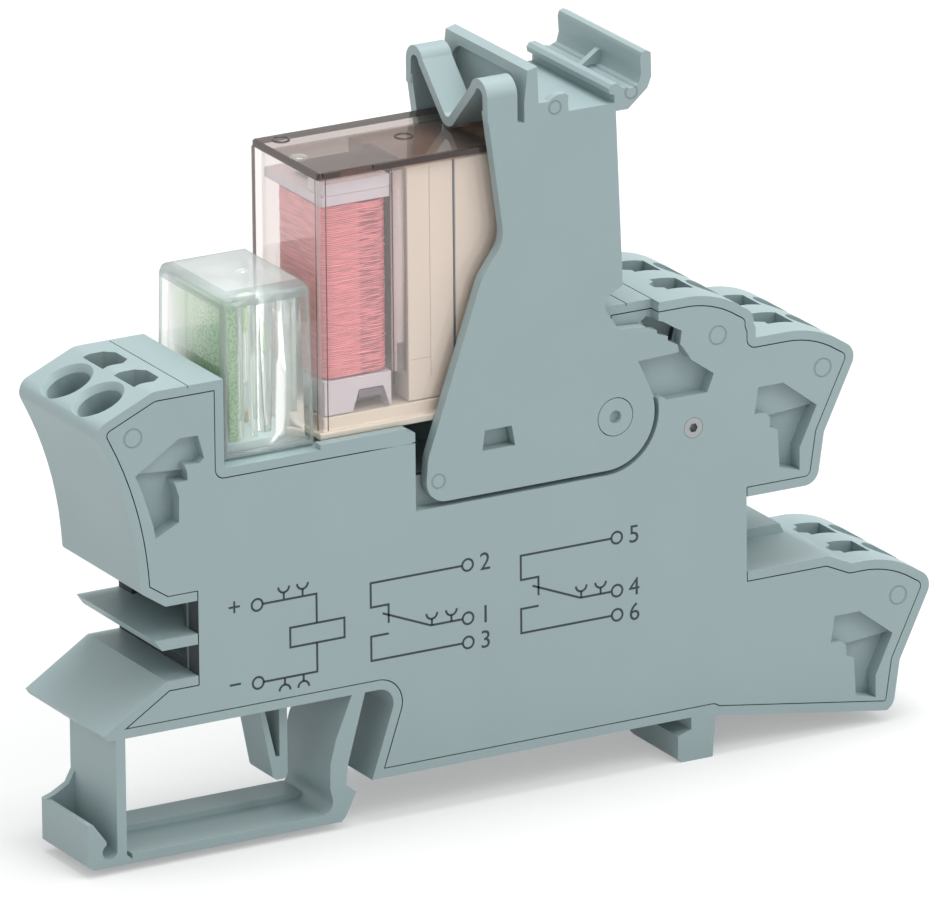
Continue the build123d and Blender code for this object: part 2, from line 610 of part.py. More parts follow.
with BuildPart() as retaining_lever:
    for near in (-half_width, half_width - plate):
        with BuildSketch(side_view(near)):
            add(lever_plate.sketch)
        extrude(amount=-plate)
    with BuildSketch(side_view(-half_width)):
        add(carrier_shape)
    extrude(amount=-module_width)
    for near in (-half_width, half_width - 0.9):
        with BuildSketch(side_view(near)):
            add(end_shape)
        extrude(amount=-0.9)
    with BuildSketch(side_view(-0.35)):
        add(rib_shape)
    extrude(amount=-0.7)
    with BuildSketch(side_view(-half_width + plate)):
        add(blank((10.35 - spine, carrier_floor + 0.2), (10.3, carrier_floor + 0.2), (10.85, 43.4),
                  (10.85 - spine, 43.4)))
    extrude(amount=-(module_width - 2 * plate))
    with BuildSketch(end_view(strap_left)):
        add(strap_shape.sketch)
    extrude(amount=strap_width)
    with BuildSketch(end_view(carrier_left)):
        with Locations((0, 60.7)):
            RectangleRounded(12.0, 4.6, 1.6)
    extrude(amount=0.7, mode=Mode.SUBTRACT)
    for pole in (-1, 1):
        near = -half_width + plate / 2 if pole < 0 else lug_inner
        with BuildSketch(side_view(near)):
            with Locations((lug_x, lug_z)):
                Circle(lug_radius)
        extrude(amount=-(half_width - plate / 2 - lug_inner))
retaining_lever.part.label = "retaining_lever"
export_step(retaining_lever.part, "parts/retaining_lever.step")

# Relay base and clear cover
relay_mid = relay_left + relay_length / 2
pin_places = [(x, pole * pin_row) for x in (coil_pin_x, *contact_pin_x) for pole in (-1, 1)]
with BuildPart() as relay_base:
    with BuildSketch(Plane.XY.offset(relay_bottom)):
        with Locations((relay_mid, 0)):
            Rectangle(relay_length, relay_width)
    extrude(amount=flange)
    with BuildSketch(Plane.XY.offset(relay_bottom + flange)):
        with Locations((relay_mid, 0)):
            Rectangle(relay_length - 2 * relay_wall - 0.1, relay_width - 2 * relay_wall - 0.1)
    extrude(amount=base_height - flange)
    with BuildSketch(Plane.XY.offset(relay_bottom)):
        with Locations(*pin_places):
            Rectangle(pin_wide + 0.06, pin_thick + 0.06)
    extrude(amount=base_height, mode=Mode.SUBTRACT)
relay_base.part.label = "relay_base"
export_step(relay_base.part, "parts/relay_base.step")

skirt_z = relay_bottom + flange + 0.05
with BuildPart() as relay_cover:
    with BuildSketch(Plane.XY.offset(skirt_z)):
        with Locations((relay_mid, 0)):
            Rectangle(relay_length, relay_width)
    extrude(amount=relay_top - skirt_z)
    chamfer(relay_cover.edges().filter_by(Axis.Z), 0.25)
    chamfer(relay_cover.faces().sort_by(Axis.Z)[-1].edges(), 0.3)
    with BuildSketch(Plane.XY.offset(skirt_z)):
        with Locations((relay_mid, 0)):
            Rectangle(relay_length - 2 * relay_wall, relay_width - 2 * relay_wall)
    extrude(amount=relay_top - skirt_z - relay_wall, mode=Mode.SUBTRACT)
relay_cover.part.label = "relay_cover"
export_step(relay_cover.part, "parts/relay_cover.step")

# Coil: bobbin, winding, core, yoke and armature
inner_z = relay_bottom + base_height + 0.1
hub_width = 2 * (core_radius + bobbin_wall)
with BuildPart() as coil_bobbin:
    with BuildSketch(Plane.XY.offset(inner_z)):
        with Locations((coil_x, 0)):
            Rectangle(coil_width, inner_width)
    extrude(amount=coil_bottom - slip - inner_z)
    with BuildSketch(Plane.XY.offset(coil_top + slip)):
        with Locations((coil_x, 0)):
            Rectangle(coil_width, inner_width)
    extrude(amount=flange_top - coil_top - slip)
    with BuildSketch(Plane.XY.offset(inner_z)):
        with Locations((coil_x, 0)):
            Circle(hub_width / 2)
    extrude(amount=flange_top - inner_z)
    # Stepped pocket in the front of the lower flange
    with BuildSketch(side_view(-5.6)):
        add(blank((coil_x - 0.6, inner_z - 0.2), (coil_x + 0.15, 36.2), (coil_x + 2.55, 36.2),
                  (coil_x + 3.3, inner_z - 0.2)))
    extrude(amount=-2.4, mode=Mode.SUBTRACT)
    with BuildSketch(Plane.XY.offset(inner_z)):
        with Locations((coil_x, 0)):
            Circle(core_radius + 0.05)
    extrude(amount=flange_top - inner_z, mode=Mode.SUBTRACT)
    with BuildSketch(Plane.XY.offset(inner_z)):
        for pole in (-1, 1):
            with Locations((coil_pin_x, pole * pin_row)):
                Rectangle(pin_wide + 0.3, pin_thick + 0.3)
        with Locations(((coil_x - 1.6 + yoke_x) / 2, 0)):
            Rectangle(yoke_x - coil_x + 1.6, 7.3)
    extrude(amount=1.35, mode=Mode.SUBTRACT)
coil_bobbin.part.label = "coil_bobbin"
export_step(coil_bobbin.part, "parts/coil_bobbin.step")

with BuildPart() as coil_winding:
    with BuildSketch(Plane.XY.offset(coil_bottom)):
        with Locations((coil_x, 0)):
            RectangleRounded(coil_width, coil_depth, 2.6)
            Circle(hub_width / 2 + 0.05, mode=Mode.SUBTRACT)
    extrude(amount=coil_top - coil_bottom)
coil_winding.part.label = "coil_winding"
export_step(coil_winding.part, "parts/coil_winding.step")

yoke_bottom = inner_z + 0.1
with BuildPart() as coil_core:
    with BuildSketch(Plane.XY.offset(yoke_bottom + yoke_thick + 0.1)):
        with Locations((coil_x, 0)):
            Circle(core_radius)
    extrude(amount=flange_top + 0.1 - yoke_bottom - yoke_thick - 0.1)
coil_core.part.label = "coil_core"
export_step(coil_core.part, "parts/coil_core.step")

with BuildPart() as yoke:
    with BuildSketch(side_view(-3.5)):
        add(blank((coil_x - 1.4, yoke_bottom), (coil_x - 1.4, yoke_bottom + yoke_thick),
                  (yoke_x, yoke_bottom + yoke_thick), (yoke_x, armature_z - 0.1),
                  (yoke_x + yoke_thick, armature_z - 0.1), (yoke_x + yoke_thick, yoke_bottom)))
    extrude(amount=-7.0)
yoke.part.label = "yoke"
export_step(yoke.part, "parts/yoke.step")

leg_x_left = yoke_x + yoke_thick + 0.3
leg_bottom = 47.0
with BuildPart() as armature:
    with BuildSketch(side_view(-2.4)):
        add(blank((coil_x - 2.0, armature_z), (coil_x - 2.0, armature_z + armature_thick),
                  (leg_x_left + 0.5, armature_z + armature_thick), (leg_x_left + 0.5, leg_bottom),
                  (leg_x_left, leg_bottom), (leg_x_left, armature_z)))
    extrude(amount=-4.8)
armature.part.label = "armature"
export_step(armature.part, "parts/armature.step")

# Contact chamber, its slider and the contact blades
box_right = relay_right - relay_wall - 0.15
with BuildPart() as contact_housing:
    with BuildSketch(Plane.XY.offset(inner_z)):
        with Locations(((contact_box_left + box_right) / 2, 0)):
            Rectangle(box_right - contact_box_left, inner_width)
    extrude(amount=contact_box_top - inner_z)
    with BuildSketch(Plane.XY.offset(inner_z)):
        with Locations(((contact_box_left + box_right + 0.4) / 2, 0)):
            Rectangle(box_right - contact_box_left - 1.2, inner_width - 1.6)
    extrude(amount=contact_box_top - 0.8 - inner_z, mode=Mode.SUBTRACT)
    with BuildSketch(end_view(contact_box_left)):
        with Locations((0, 51.2)):
            Rectangle(5.4, 9.2)
    extrude(amount=0.8, mode=Mode.SUBTRACT)
    # Joint between the two mouldings of the chamber
    with BuildSketch(side_view(-inner_width / 2)):
        with Locations((contact_box_left + 4.75, 45.0)):
            Rectangle(0.2, 24.0)
    extrude(amount=-0.4, mode=Mode.SUBTRACT)
contact_housing.part.label = "contact_housing"
export_step(contact_housing.part, "parts/contact_housing.step")

blade = 0.3
slider_left = leg_x_left + 0.6
slider_right = contact_pin_x[1] + 1.0
with BuildPart() as contact_slider:
    with BuildSketch(Plane.XY.offset(49.9)):
        with Locations(((slider_left + slider_right) / 2, 0)):
            Rectangle(slider_right - slider_left, 2.4)
        with Locations((slider_right - 2.2, 0)):
            Rectangle(0.8, 7.4)
    extrude(amount=0.8)
    with BuildSketch(Plane.XY.offset(48.6)):
        for pole in (-1, 1):
            with Locations((slider_right - 2.2, pole * 2.9)):
                Rectangle(0.8, 1.4)
    extrude(amount=1.4)
contact_slider.part.label = "contact_slider"
export_step(contact_slider.part, "parts/contact_slider.step")


def contact_blade(label, pin_x, pole, line):
    # A pin below the base with a bent blade above it
    inner = min(pole * (pin_row - 1.0), pole * (pin_row + 1.0))
    with BuildPart() as piece:
        with BuildSketch(Plane.XY.offset(relay_bottom - pin_length)):
            with Locations((pin_x, pole * pin_row)):
                Rectangle(pin_wide, pin_thick)
        extrude(amount=pin_length + base_height + 0.9)
        with BuildSketch(side_view(inner)):
            add(strip(*line, wide=blade))
        extrude(amount=-2.0)
        with BuildSketch(side_view(inner)):
            with Locations((pin_x, inner_z + 0.45)):
                Rectangle(pin_wide, 0.6)
        extrude(amount=-2.0)
    piece.part.label = label
    export_step(piece.part, f"parts/{label}.step")


for pole, side in ((-1, "front"), (1, "back")):
    spring_x = contact_pin_x[1]
    contact_blade(f"changeover_spring_{side}", spring_x, pole,
                  ((spring_x, inner_z + 0.4), (spring_x, 49.4)))
    contact_blade(f"break_contact_{side}", contact_pin_x[2], pole,
                  ((contact_pin_x[2], inner_z + 0.4), (contact_pin_x[2], 40.0), (spring_x + 0.5, 43.0),
                   (spring_x + 0.5, 48.0)))
    contact_blade(f"make_contact_{side}", contact_pin_x[0], pole,
                  ((contact_pin_x[0], inner_z + 0.4), (contact_pin_x[0], 40.0), (spring_x - 1.0, 43.0),
                   (spring_x - 1.0, 47.6)))
    with BuildPart() as coil_pin:
        with BuildSketch(Plane.XY.offset(relay_bottom - pin_length)):
            with Locations((coil_pin_x, pole * pin_row)):
                Rectangle(pin_wide, pin_thick)
        extrude(amount=pin_length + base_height + 1.0)
    coil_pin.part.label = f"coil_pin_{side}"
    export_step(coil_pin.part, f"parts/coil_pin_{side}.step")

# Plug-in indicator
cap_mid = cap_left + cap_length / 2
base_thick = 1.15
cap_inner_length = cap_length - 2 * cap_wall
cap_inner_width = relay_width - 2 * cap_wall
with BuildPart() as indicator_cap:
    with BuildSketch(Plane.XY.offset(cap_bottom)):
        with Locations((cap_mid, 0)):
            Rectangle(cap_length, relay_width)
    extrude(amount=cap_top - cap_bottom, taper=0.9)
    chamfer(indicator_cap.faces().sort_by(Axis.Z)[-1].edges(), 0.5)
    with BuildSketch(Plane.XY.offset(cap_bottom)):
        with Locations((cap_mid, 0)):
            Rectangle(cap_inner_length, cap_inner_width)
    extrude(amount=cap_top - cap_bottom - cap_wall, taper=0.9, mode=Mode.SUBTRACT)
    # Light pipe moulded in the front of the cap
    with BuildSketch(Plane.XY.offset(cap_bottom + base_thick + 0.6)):
        with Locations((bump_x - 0.8, -cap_inner_width / 2 + 1.1)):
            Circle(1.1)
    extrude(amount=cap_top - cap_bottom - base_thick - 0.8)
    with BuildSketch(Plane.XY.offset(cap_top - 0.1)):
        with Locations((bump_x, 0)):
            Circle(1.0)
    extrude(amount=0.3)
indicator_cap.part.label = "indicator_cap"
export_step(indicator_cap.part, "parts/indicator_cap.step")

with BuildPart() as indicator_base:
    with BuildSketch(Plane.XY.offset(cap_bottom)):
        with Locations((cap_mid, 0)):
            Rectangle(cap_inner_length - 0.2, cap_inner_width - 0.2)
    extrude(amount=base_thick)
    with BuildSketch(Plane.XY.offset(cap_bottom)):
        for pole in (-1, 1):
            with Locations((indicator_pin_x, pole * pin_row)):
                Rectangle(pin_wide + 0.06, pin_thick + 0.06)
    extrude(amount=base_thick, mode=Mode.SUBTRACT)
indicator_base.part.label = "indicator_base"
export_step(indicator_base.part, "parts/indicator_base.step")

board_left = cap_left + cap_wall + 0.55
board_thick = 1.0
board_bottom = cap_bottom + base_thick + 0.05
board_right = board_left + board_thick
with BuildPart() as indicator_board:
    with BuildSketch(Plane.XY.offset(board_bottom)):
        with Locations((board_left + board_thick / 2, 0)):
            Rectangle(board_thick, 10.2)
    extrude(amount=12.6)
indicator_board.part.label = "indicator_board"
export_step(indicator_board.part, "parts/indicator_board.step")

led_radius = 1.4
with BuildPart() as indicator_led:
    with BuildSketch(Plane.XY.offset(41.6)):
        with Locations((bump_x, 0)):
            Circle(led_radius)
    extrude(amount=2.6)
    with Locations((bump_x, 0, 44.2)):
        Cone(led_radius, 0.8, 1.0, align=(Align.CENTER, Align.CENTER, Align.MIN))
    with Locations(((board_right + 0.05 + bump_x) / 2, 0, 42.0)):
        Box(bump_x - board_right - 0.05, 1.6, 0.6)
indicator_led.part.label = "indicator_led"
export_step(indicator_led.part, "parts/indicator_led.step")

for label, y, z, length in (("indicator_resistor", 3.0, 38.0, 3.2), ("indicator_diode", -2.6, 38.5, 2.6)):
    with BuildPart() as chip:
        with Locations((board_right + 0.05 + 0.35, y, z)):
            Box(0.7, 1.6, length)
    chip.part.label = label
    export_step(chip.part, f"parts/{label}.step")

for pole, side in ((-1, "front"), (1, "back")):
    with BuildPart() as indicator_pin:
        with BuildSketch(Plane.XY.offset(relay_bottom - pin_length)):
            with Locations((indicator_pin_x, pole * pin_row)):
                Rectangle(pin_wide, pin_thick)
        extrude(amount=board_bottom + 0.9 - relay_bottom + pin_length)
    indicator_pin.part.label = f"indicator_pin_{side}"
    export_step(indicator_pin.part, f"parts/indicator_pin_{side}.step")
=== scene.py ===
import json
import math
import bpy
import bmesh
import numpy as np
from mathutils import Matrix, Vector


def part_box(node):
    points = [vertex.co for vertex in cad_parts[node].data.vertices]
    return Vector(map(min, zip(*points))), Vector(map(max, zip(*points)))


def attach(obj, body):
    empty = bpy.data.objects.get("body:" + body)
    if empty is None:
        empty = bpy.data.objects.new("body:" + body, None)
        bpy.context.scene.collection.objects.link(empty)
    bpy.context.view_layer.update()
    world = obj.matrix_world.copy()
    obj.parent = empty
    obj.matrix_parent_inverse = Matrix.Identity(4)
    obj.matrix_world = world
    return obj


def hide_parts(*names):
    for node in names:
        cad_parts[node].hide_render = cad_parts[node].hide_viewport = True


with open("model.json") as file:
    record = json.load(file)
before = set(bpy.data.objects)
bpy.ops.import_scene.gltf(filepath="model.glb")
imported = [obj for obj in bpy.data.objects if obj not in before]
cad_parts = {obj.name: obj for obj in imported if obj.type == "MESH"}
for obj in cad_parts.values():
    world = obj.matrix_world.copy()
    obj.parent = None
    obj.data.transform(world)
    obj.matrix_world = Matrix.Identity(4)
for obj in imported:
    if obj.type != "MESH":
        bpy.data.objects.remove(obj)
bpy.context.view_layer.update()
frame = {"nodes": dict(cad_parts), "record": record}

mm = 0.001
frontY = -7.5  # the cover's outer face, mm

# Camera, floor and lamps

cameraSetup = {
    "place": (-0.649396, -1.174031, 0.478650),  # metres, worked out from edges of the housing
    "yaw": 28.9318, "pitch": 18.6485, "roll": -0.536,  # degrees
    "lens": 600.11,  # mm on a 36 mm sensor
}
floorSetup = {
    "height": -4.15,  # mm, where the hook and the foot stand
    "reach": 1.4,  # metres each way
    "cameraLift": 0.32,  # light added for the eye only, so that the floor meets a white background
}
lampSetup = {
    # name: place (m), size (m), watts
    "keySoftbox": ((0.45, -0.85, 1.15), 0.60, 4.0),
    "topSoftbox": ((0.12, 0.10, 1.30), 0.70, 12.5),
    "fillPanel": ((1.05, -0.55, 0.40), 0.80, 2.4),
}
lampAim = (0.0, 0.0, 0.03)  # metres, the middle of the module
worldLevel = 0.75  # strength of the white surroundings as light


def hexColour(code):  # sRGB hex to linear
    parts = [int(code[i:i + 2], 16) / 255 for i in (1, 3, 5)]
    return tuple(c / 12.92 if c <= 0.04045 else ((c + 0.055) / 1.055) ** 2.4 for c in parts) + (1.0,)


def addNode(tree, kind, settings=None, inputs=None):  # one node with its settings, values and links
    node = tree.nodes.new(kind)
    for name, value in (settings or {}).items():
        setattr(node, name, value)
    for name, value in (inputs or {}).items():
        if isinstance(value, bpy.types.NodeSocket):
            tree.links.new(value, node.inputs[name])
        else:
            node.inputs[name].default_value = value
    return node


def emptyMaterial(name):
    mat = bpy.data.materials.new(name)
    mat.use_nodes = True
    mat.node_tree.nodes.clear()
    return mat, mat.node_tree


def makeCamera(setup):
    yaw, pitch, roll = (math.radians(setup[k]) for k in ("yaw", "pitch", "roll"))
    look = Vector((math.sin(yaw) * math.cos(pitch), math.cos(yaw) * math.cos(pitch), -math.sin(pitch)))
    side = Vector((math.cos(yaw), -math.sin(yaw), 0.0))
    up = side.cross(look)
    right = side * math.cos(roll) + up * math.sin(roll)
    up = up * math.cos(roll) - side * math.sin(roll)
    data = bpy.data.cameras.new("photoCamera")
    data.sensor_fit, data.sensor_width, data.lens = "HORIZONTAL", 36.0, setup["lens"]
    data.clip_start, data.clip_end = 0.1, 20.0
    cam = bpy.data.objects.new("photoCamera", data)
    cam.matrix_world = Matrix.Translation(setup["place"]) @ Matrix(
        ((right.x, up.x, -look.x), (right.y, up.y, -look.y), (right.z, up.z, -look.z))).to_4x4()
    bpy.context.scene.collection.objects.link(cam)
    bpy.context.scene.camera = cam


def makeFloor(setup):
    # A flat square of white paper. Beyond its edges the eye sees the white world.
    z, r = setup["height"] * mm, setup["reach"]
    mesh = bpy.data.meshes.new("floor")
    mesh.from_pydata([(-r, -r, z), (r, -r, z), (r, r, z), (-r, r, z)], [], [(0, 1, 2, 3)])
    floor = bpy.data.objects.new("floor", mesh)
    bpy.context.scene.collection.objects.link(floor)
    mat, tree = emptyMaterial("whitePaperSweep")
    paper = addNode(tree, "ShaderNodeBsdfDiffuse", inputs={"Color": hexColour("#C6C6C6"), "Roughness": 0.6})
    path = addNode(tree, "ShaderNodeLightPath")
    seen = addNode(tree, "ShaderNodeMath", {"operation": "MAXIMUM"},
                   {0: path.outputs["Is Camera Ray"], 1: path.outputs["Is Transmission Ray"]})
    seen = addNode(tree, "ShaderNodeMath", {"operation": "MAXIMUM"},
                   {0: seen.outputs[0], 1: path.outputs["Is Glossy Ray"]})
    lift = addNode(tree, "ShaderNodeMath", {"operation": "MULTIPLY"},
                   {0: seen.outputs[0], 1: setup["cameraLift"]})
    glow = addNode(tree, "ShaderNodeEmission", inputs={"Color": (1, 1, 1, 1), "Strength": lift.outputs[0]})
    both = addNode(tree, "ShaderNodeAddShader", inputs={0: paper.outputs[0], 1: glow.outputs[0]})
    addNode(tree, "ShaderNodeOutputMaterial", inputs={"Surface": both.outputs[0]})
    mesh.materials.append(mat)


def makeLights(setup, aimAt, level):
    # Square softboxes, and a world that is white to the eye and gives even light
    for name, (place, size, watts) in setup.items():
        data = bpy.data.lights.new(name, "AREA")
        data.shape, data.size, data.energy = "SQUARE", size, watts
        lamp = bpy.data.objects.new(name, data)
        aim = Vector(aimAt) - Vector(place)
        lamp.matrix_world = Matrix.Translation(place) @ aim.to_track_quat("-Z", "Y").to_matrix().to_4x4()
        bpy.context.scene.collection.objects.link(lamp)
    world = bpy.data.worlds.new("paleStudio")
    bpy.context.scene.world = world
    world.use_nodes = True
    tree = world.node_tree
    tree.nodes.clear()
    path = addNode(tree, "ShaderNodeLightPath")
    seen = addNode(tree, "ShaderNodeMath", {"operation": "MAXIMUM"},
                   {0: path.outputs["Is Camera Ray"], 1: path.outputs["Is Transmission Ray"]})
    light = addNode(tree, "ShaderNodeBackground", inputs={"Color": (1, 1, 1, 1), "Strength": level})
    white = addNode(tree, "ShaderNodeBackground", inputs={"Color": (1, 1, 1, 1), "Strength": 1.0})
    mix = addNode(tree, "ShaderNodeMixShader", inputs={
        0: seen.outputs[0], 1: light.outputs[0], 2: white.outputs[0]})
    addNode(tree, "ShaderNodeOutputWorld", inputs={"Surface": mix.outputs[0]})


makeCamera(cameraSetup)
makeFloor(floorSetup)
makeLights(lampSetup, lampAim, worldLevel)
bpy.context.scene.view_settings.view_transform = "Standard"
print("stage ready")

# Materials


def ringMask(tree, place, rings, halfWidth=0.14):
    # How much a point lies in one of the round marks, each (x, z, radius) in mm and seen along Y
    flat = addNode(tree, "ShaderNodeVectorMath", {"operation": "MULTIPLY"}, {0: place, 1: (1.0, 0.0, 1.0)})
    total = None
    for x, z, radius in rings:
        far = addNode(tree, "ShaderNodeVectorMath", {"operation": "DISTANCE"},
                      {0: flat.outputs[0], 1: (x * mm, 0.0, z * mm)})
        off = addNode(tree, "ShaderNodeMath", {"operation": "SUBTRACT"},
                      {0: far.outputs["Value"], 1: radius * mm})
        off = addNode(tree, "ShaderNodeMath", {"operation": "ABSOLUTE"}, {0: off.outputs[0]})
        groove = addNode(tree, "ShaderNodeMapRange", {"interpolation_type": "SMOOTHSTEP"}, {
            "Value": off.outputs[0], "From Min": 0.0, "From Max": halfWidth * mm,
            "To Min": 1.0, "To Max": 0.0})
        total = groove.outputs[0] if total is None else addNode(
            tree, "ShaderNodeMath", {"operation": "MAXIMUM"}, {0: total, 1: groove.outputs[0]}).outputs[0]
    return total


def mouldedPlastic(name, colour, rough=0.46, ior=1.53, grain=0.35, lift=0.02, pool=9.0, rings=()):
    # Moulded thermoplastic: an even colour, a fine spark-eroded grain that breaks up the gloss, and slow
    # changes of gloss where the melt flowed. grain and pool are the sizes of the two in mm, lift how much
    # the tone changes, and rings the shallow round marks of the mould's ejector pins, whose grooves get
    # painted shade.
    mat, tree = emptyMaterial(name)
    place = addNode(tree, "ShaderNodeTexCoord").outputs["Object"]
    fine = addNode(tree, "ShaderNodeTexNoise", inputs={
        "Vector": place, "Scale": 1 / (grain * mm), "Detail": 3.0})
    slow = addNode(tree, "ShaderNodeTexNoise", inputs={
        "Vector": place, "Scale": 1 / (pool * mm), "Detail": 2.0})
    tone = addNode(tree, "ShaderNodeMapRange", inputs={
        "Value": slow.outputs["Fac"], "From Min": 0.3, "From Max": 0.7,
        "To Min": 1 - lift, "To Max": 1 + lift}).outputs["Result"]
    bump = addNode(tree, "ShaderNodeBump", inputs={
        "Height": fine.outputs["Fac"], "Strength": 0.35, "Distance": 0.02 * mm})
    if rings:
        mask = ringMask(tree, place, rings)
        # the grooves are painted up to 16 % darker: painted shade
        shade = addNode(tree, "ShaderNodeMapRange", inputs={"Value": mask, "To Min": 1.0, "To Max": 0.84})
        tone = addNode(tree, "ShaderNodeMath", {"operation": "MULTIPLY"},
                       {0: tone, 1: shade.outputs[0]}).outputs[0]
        bump = addNode(tree, "ShaderNodeBump", {"invert": True}, {
            "Height": mask, "Strength": 1.0, "Distance": 0.09 * mm, "Normal": bump.outputs[0]})
    tint = addNode(tree, "ShaderNodeVectorMath", {"operation": "SCALE"},
                   {0: hexColour(colour)[:3], "Scale": tone})
    gloss = addNode(tree, "ShaderNodeMapRange", inputs={
        "Value": slow.outputs["Fac"], "From Min": 0.3, "From Max": 0.7,
        "To Min": rough - 0.05, "To Max": rough + 0.05})
    skin = addNode(tree, "ShaderNodeBsdfPrincipled", inputs={
        "Base Color": tint.outputs[0], "Roughness": gloss.outputs["Result"], "IOR": ior,
        "Normal": bump.outputs[0]})
    addNode(tree, "ShaderNodeOutputMaterial", inputs={"Surface": skin.outputs[0]})
    return mat


def clearWall(name, colour, haze=0.03, hazeColour="#E9ECEB", rough=0.05, ior=1.585, flow=5.0):
    # Thin wall of clear polycarbonate: what lies behind shows straight through with a slight tint, the
    # surface mirrors the lamps more at a low angle, and the polish has faint waves, flow mm long, and a
    # little haze. A wall has two surfaces, so its tint and haze count twice.
    mat, tree = emptyMaterial(name)
    place = addNode(tree, "ShaderNodeTexCoord").outputs["Object"]
    wave = addNode(tree, "ShaderNodeTexNoise", inputs={
        "Vector": place, "Scale": 1 / (flow * mm), "Detail": 1.0})
    bump = addNode(tree, "ShaderNodeBump", inputs={
        "Height": wave.outputs["Fac"], "Strength": 0.3, "Distance": 0.06 * mm})
    # Both sides of the wall meet air, so a ray that leaves it is mirrored no more than one that enters
    leaving = addNode(tree, "ShaderNodeNewGeometry").outputs["Backfacing"]
    bend = addNode(tree, "ShaderNodeMath", {"operation": "MULTIPLY_ADD"},
                   {0: leaving, 1: 1 / ior - ior, 2: ior})
    edge = addNode(tree, "ShaderNodeFresnel", inputs={"IOR": bend.outputs[0], "Normal": bump.outputs[0]})
    behind = addNode(tree, "ShaderNodeBsdfRefraction", inputs={
        "Color": hexColour(colour), "Roughness": 0.0, "IOR": 1.0})
    mirror = addNode(tree, "ShaderNodeBsdfGlossy", inputs={
        "Color": (1, 1, 1, 1), "Roughness": rough, "Normal": bump.outputs[0]})
    wall = addNode(tree, "ShaderNodeMixShader", inputs={
        0: edge.outputs[0], 1: behind.outputs[0], 2: mirror.outputs[0]})
    milk = addNode(tree, "ShaderNodeBsdfPrincipled", inputs={
        "Base Color": hexColour(hazeColour), "Roughness": 0.35, "IOR": ior})
    wall = addNode(tree, "ShaderNodeMixShader", inputs={0: haze, 1: wall.outputs[0], 2: milk.outputs[0]})
    through = addNode(tree, "ShaderNodeBsdfTransparent", inputs={"Color": hexColour(colour)})
    path = addNode(tree, "ShaderNodeLightPath")
    mix = addNode(tree, "ShaderNodeMixShader", inputs={
        0: path.outputs["Is Shadow Ray"], 1: wall.outputs[0], 2: through.outputs[0]})
    addNode(tree, "ShaderNodeOutputMaterial", inputs={"Surface": mix.outputs[0]})
    return mat


def clearSolid(name, colour, rough=0.03, ior=1.585, haze=0.2):
    # Thick clear plastic, such as a light pipe or a cast lens, which bends what is seen through it and
    # gathers some light inside
    mat, tree = emptyMaterial(name)
    body = addNode(tree, "ShaderNodeBsdfPrincipled", inputs={
        "Base Color": hexColour(colour), "Roughness": rough, "IOR": ior, "Transmission Weight": 1.0})
    glow = addNode(tree, "ShaderNodeBsdfPrincipled", inputs={
        "Base Color": hexColour(colour), "Roughness": 0.2, "IOR": ior})
    body = addNode(tree, "ShaderNodeMixShader", inputs={0: haze, 1: body.outputs[0], 2: glow.outputs[0]})
    through = addNode(tree, "ShaderNodeBsdfTransparent", inputs={"Color": hexColour(colour)})
    path = addNode(tree, "ShaderNodeLightPath")
    mix = addNode(tree, "ShaderNodeMixShader", inputs={
        0: path.outputs["Is Shadow Ray"], 1: body.outputs[0], 2: through.outputs[0]})
    addNode(tree, "ShaderNodeOutputMaterial", inputs={"Surface": mix.outputs[0]})
    return mat


def metal(name, colour, rough=0.3, brush=0.08):
    # Rolled or drawn metal: fine streaks along X left by the rolls, brush mm apart
    mat, tree = emptyMaterial(name)
    place = addNode(tree, "ShaderNodeTexCoord").outputs["Object"]
    turned = addNode(tree, "ShaderNodeMapping", inputs={"Vector": place, "Scale": (0.05, 1.0, 1.0)})
    streak = addNode(tree, "ShaderNodeTexNoise", inputs={
        "Vector": turned.outputs[0], "Scale": 1 / (brush * mm), "Detail": 2.0})
    gloss = addNode(tree, "ShaderNodeMapRange", inputs={
        "Value": streak.outputs["Fac"], "To Min": rough - 0.08, "To Max": rough + 0.08})
    skin = addNode(tree, "ShaderNodeBsdfPrincipled", inputs={
        "Base Color": hexColour(colour), "Metallic": 1.0, "Roughness": gloss.outputs["Result"]})
    addNode(tree, "ShaderNodeOutputMaterial", inputs={"Surface": skin.outputs[0]})
    return mat


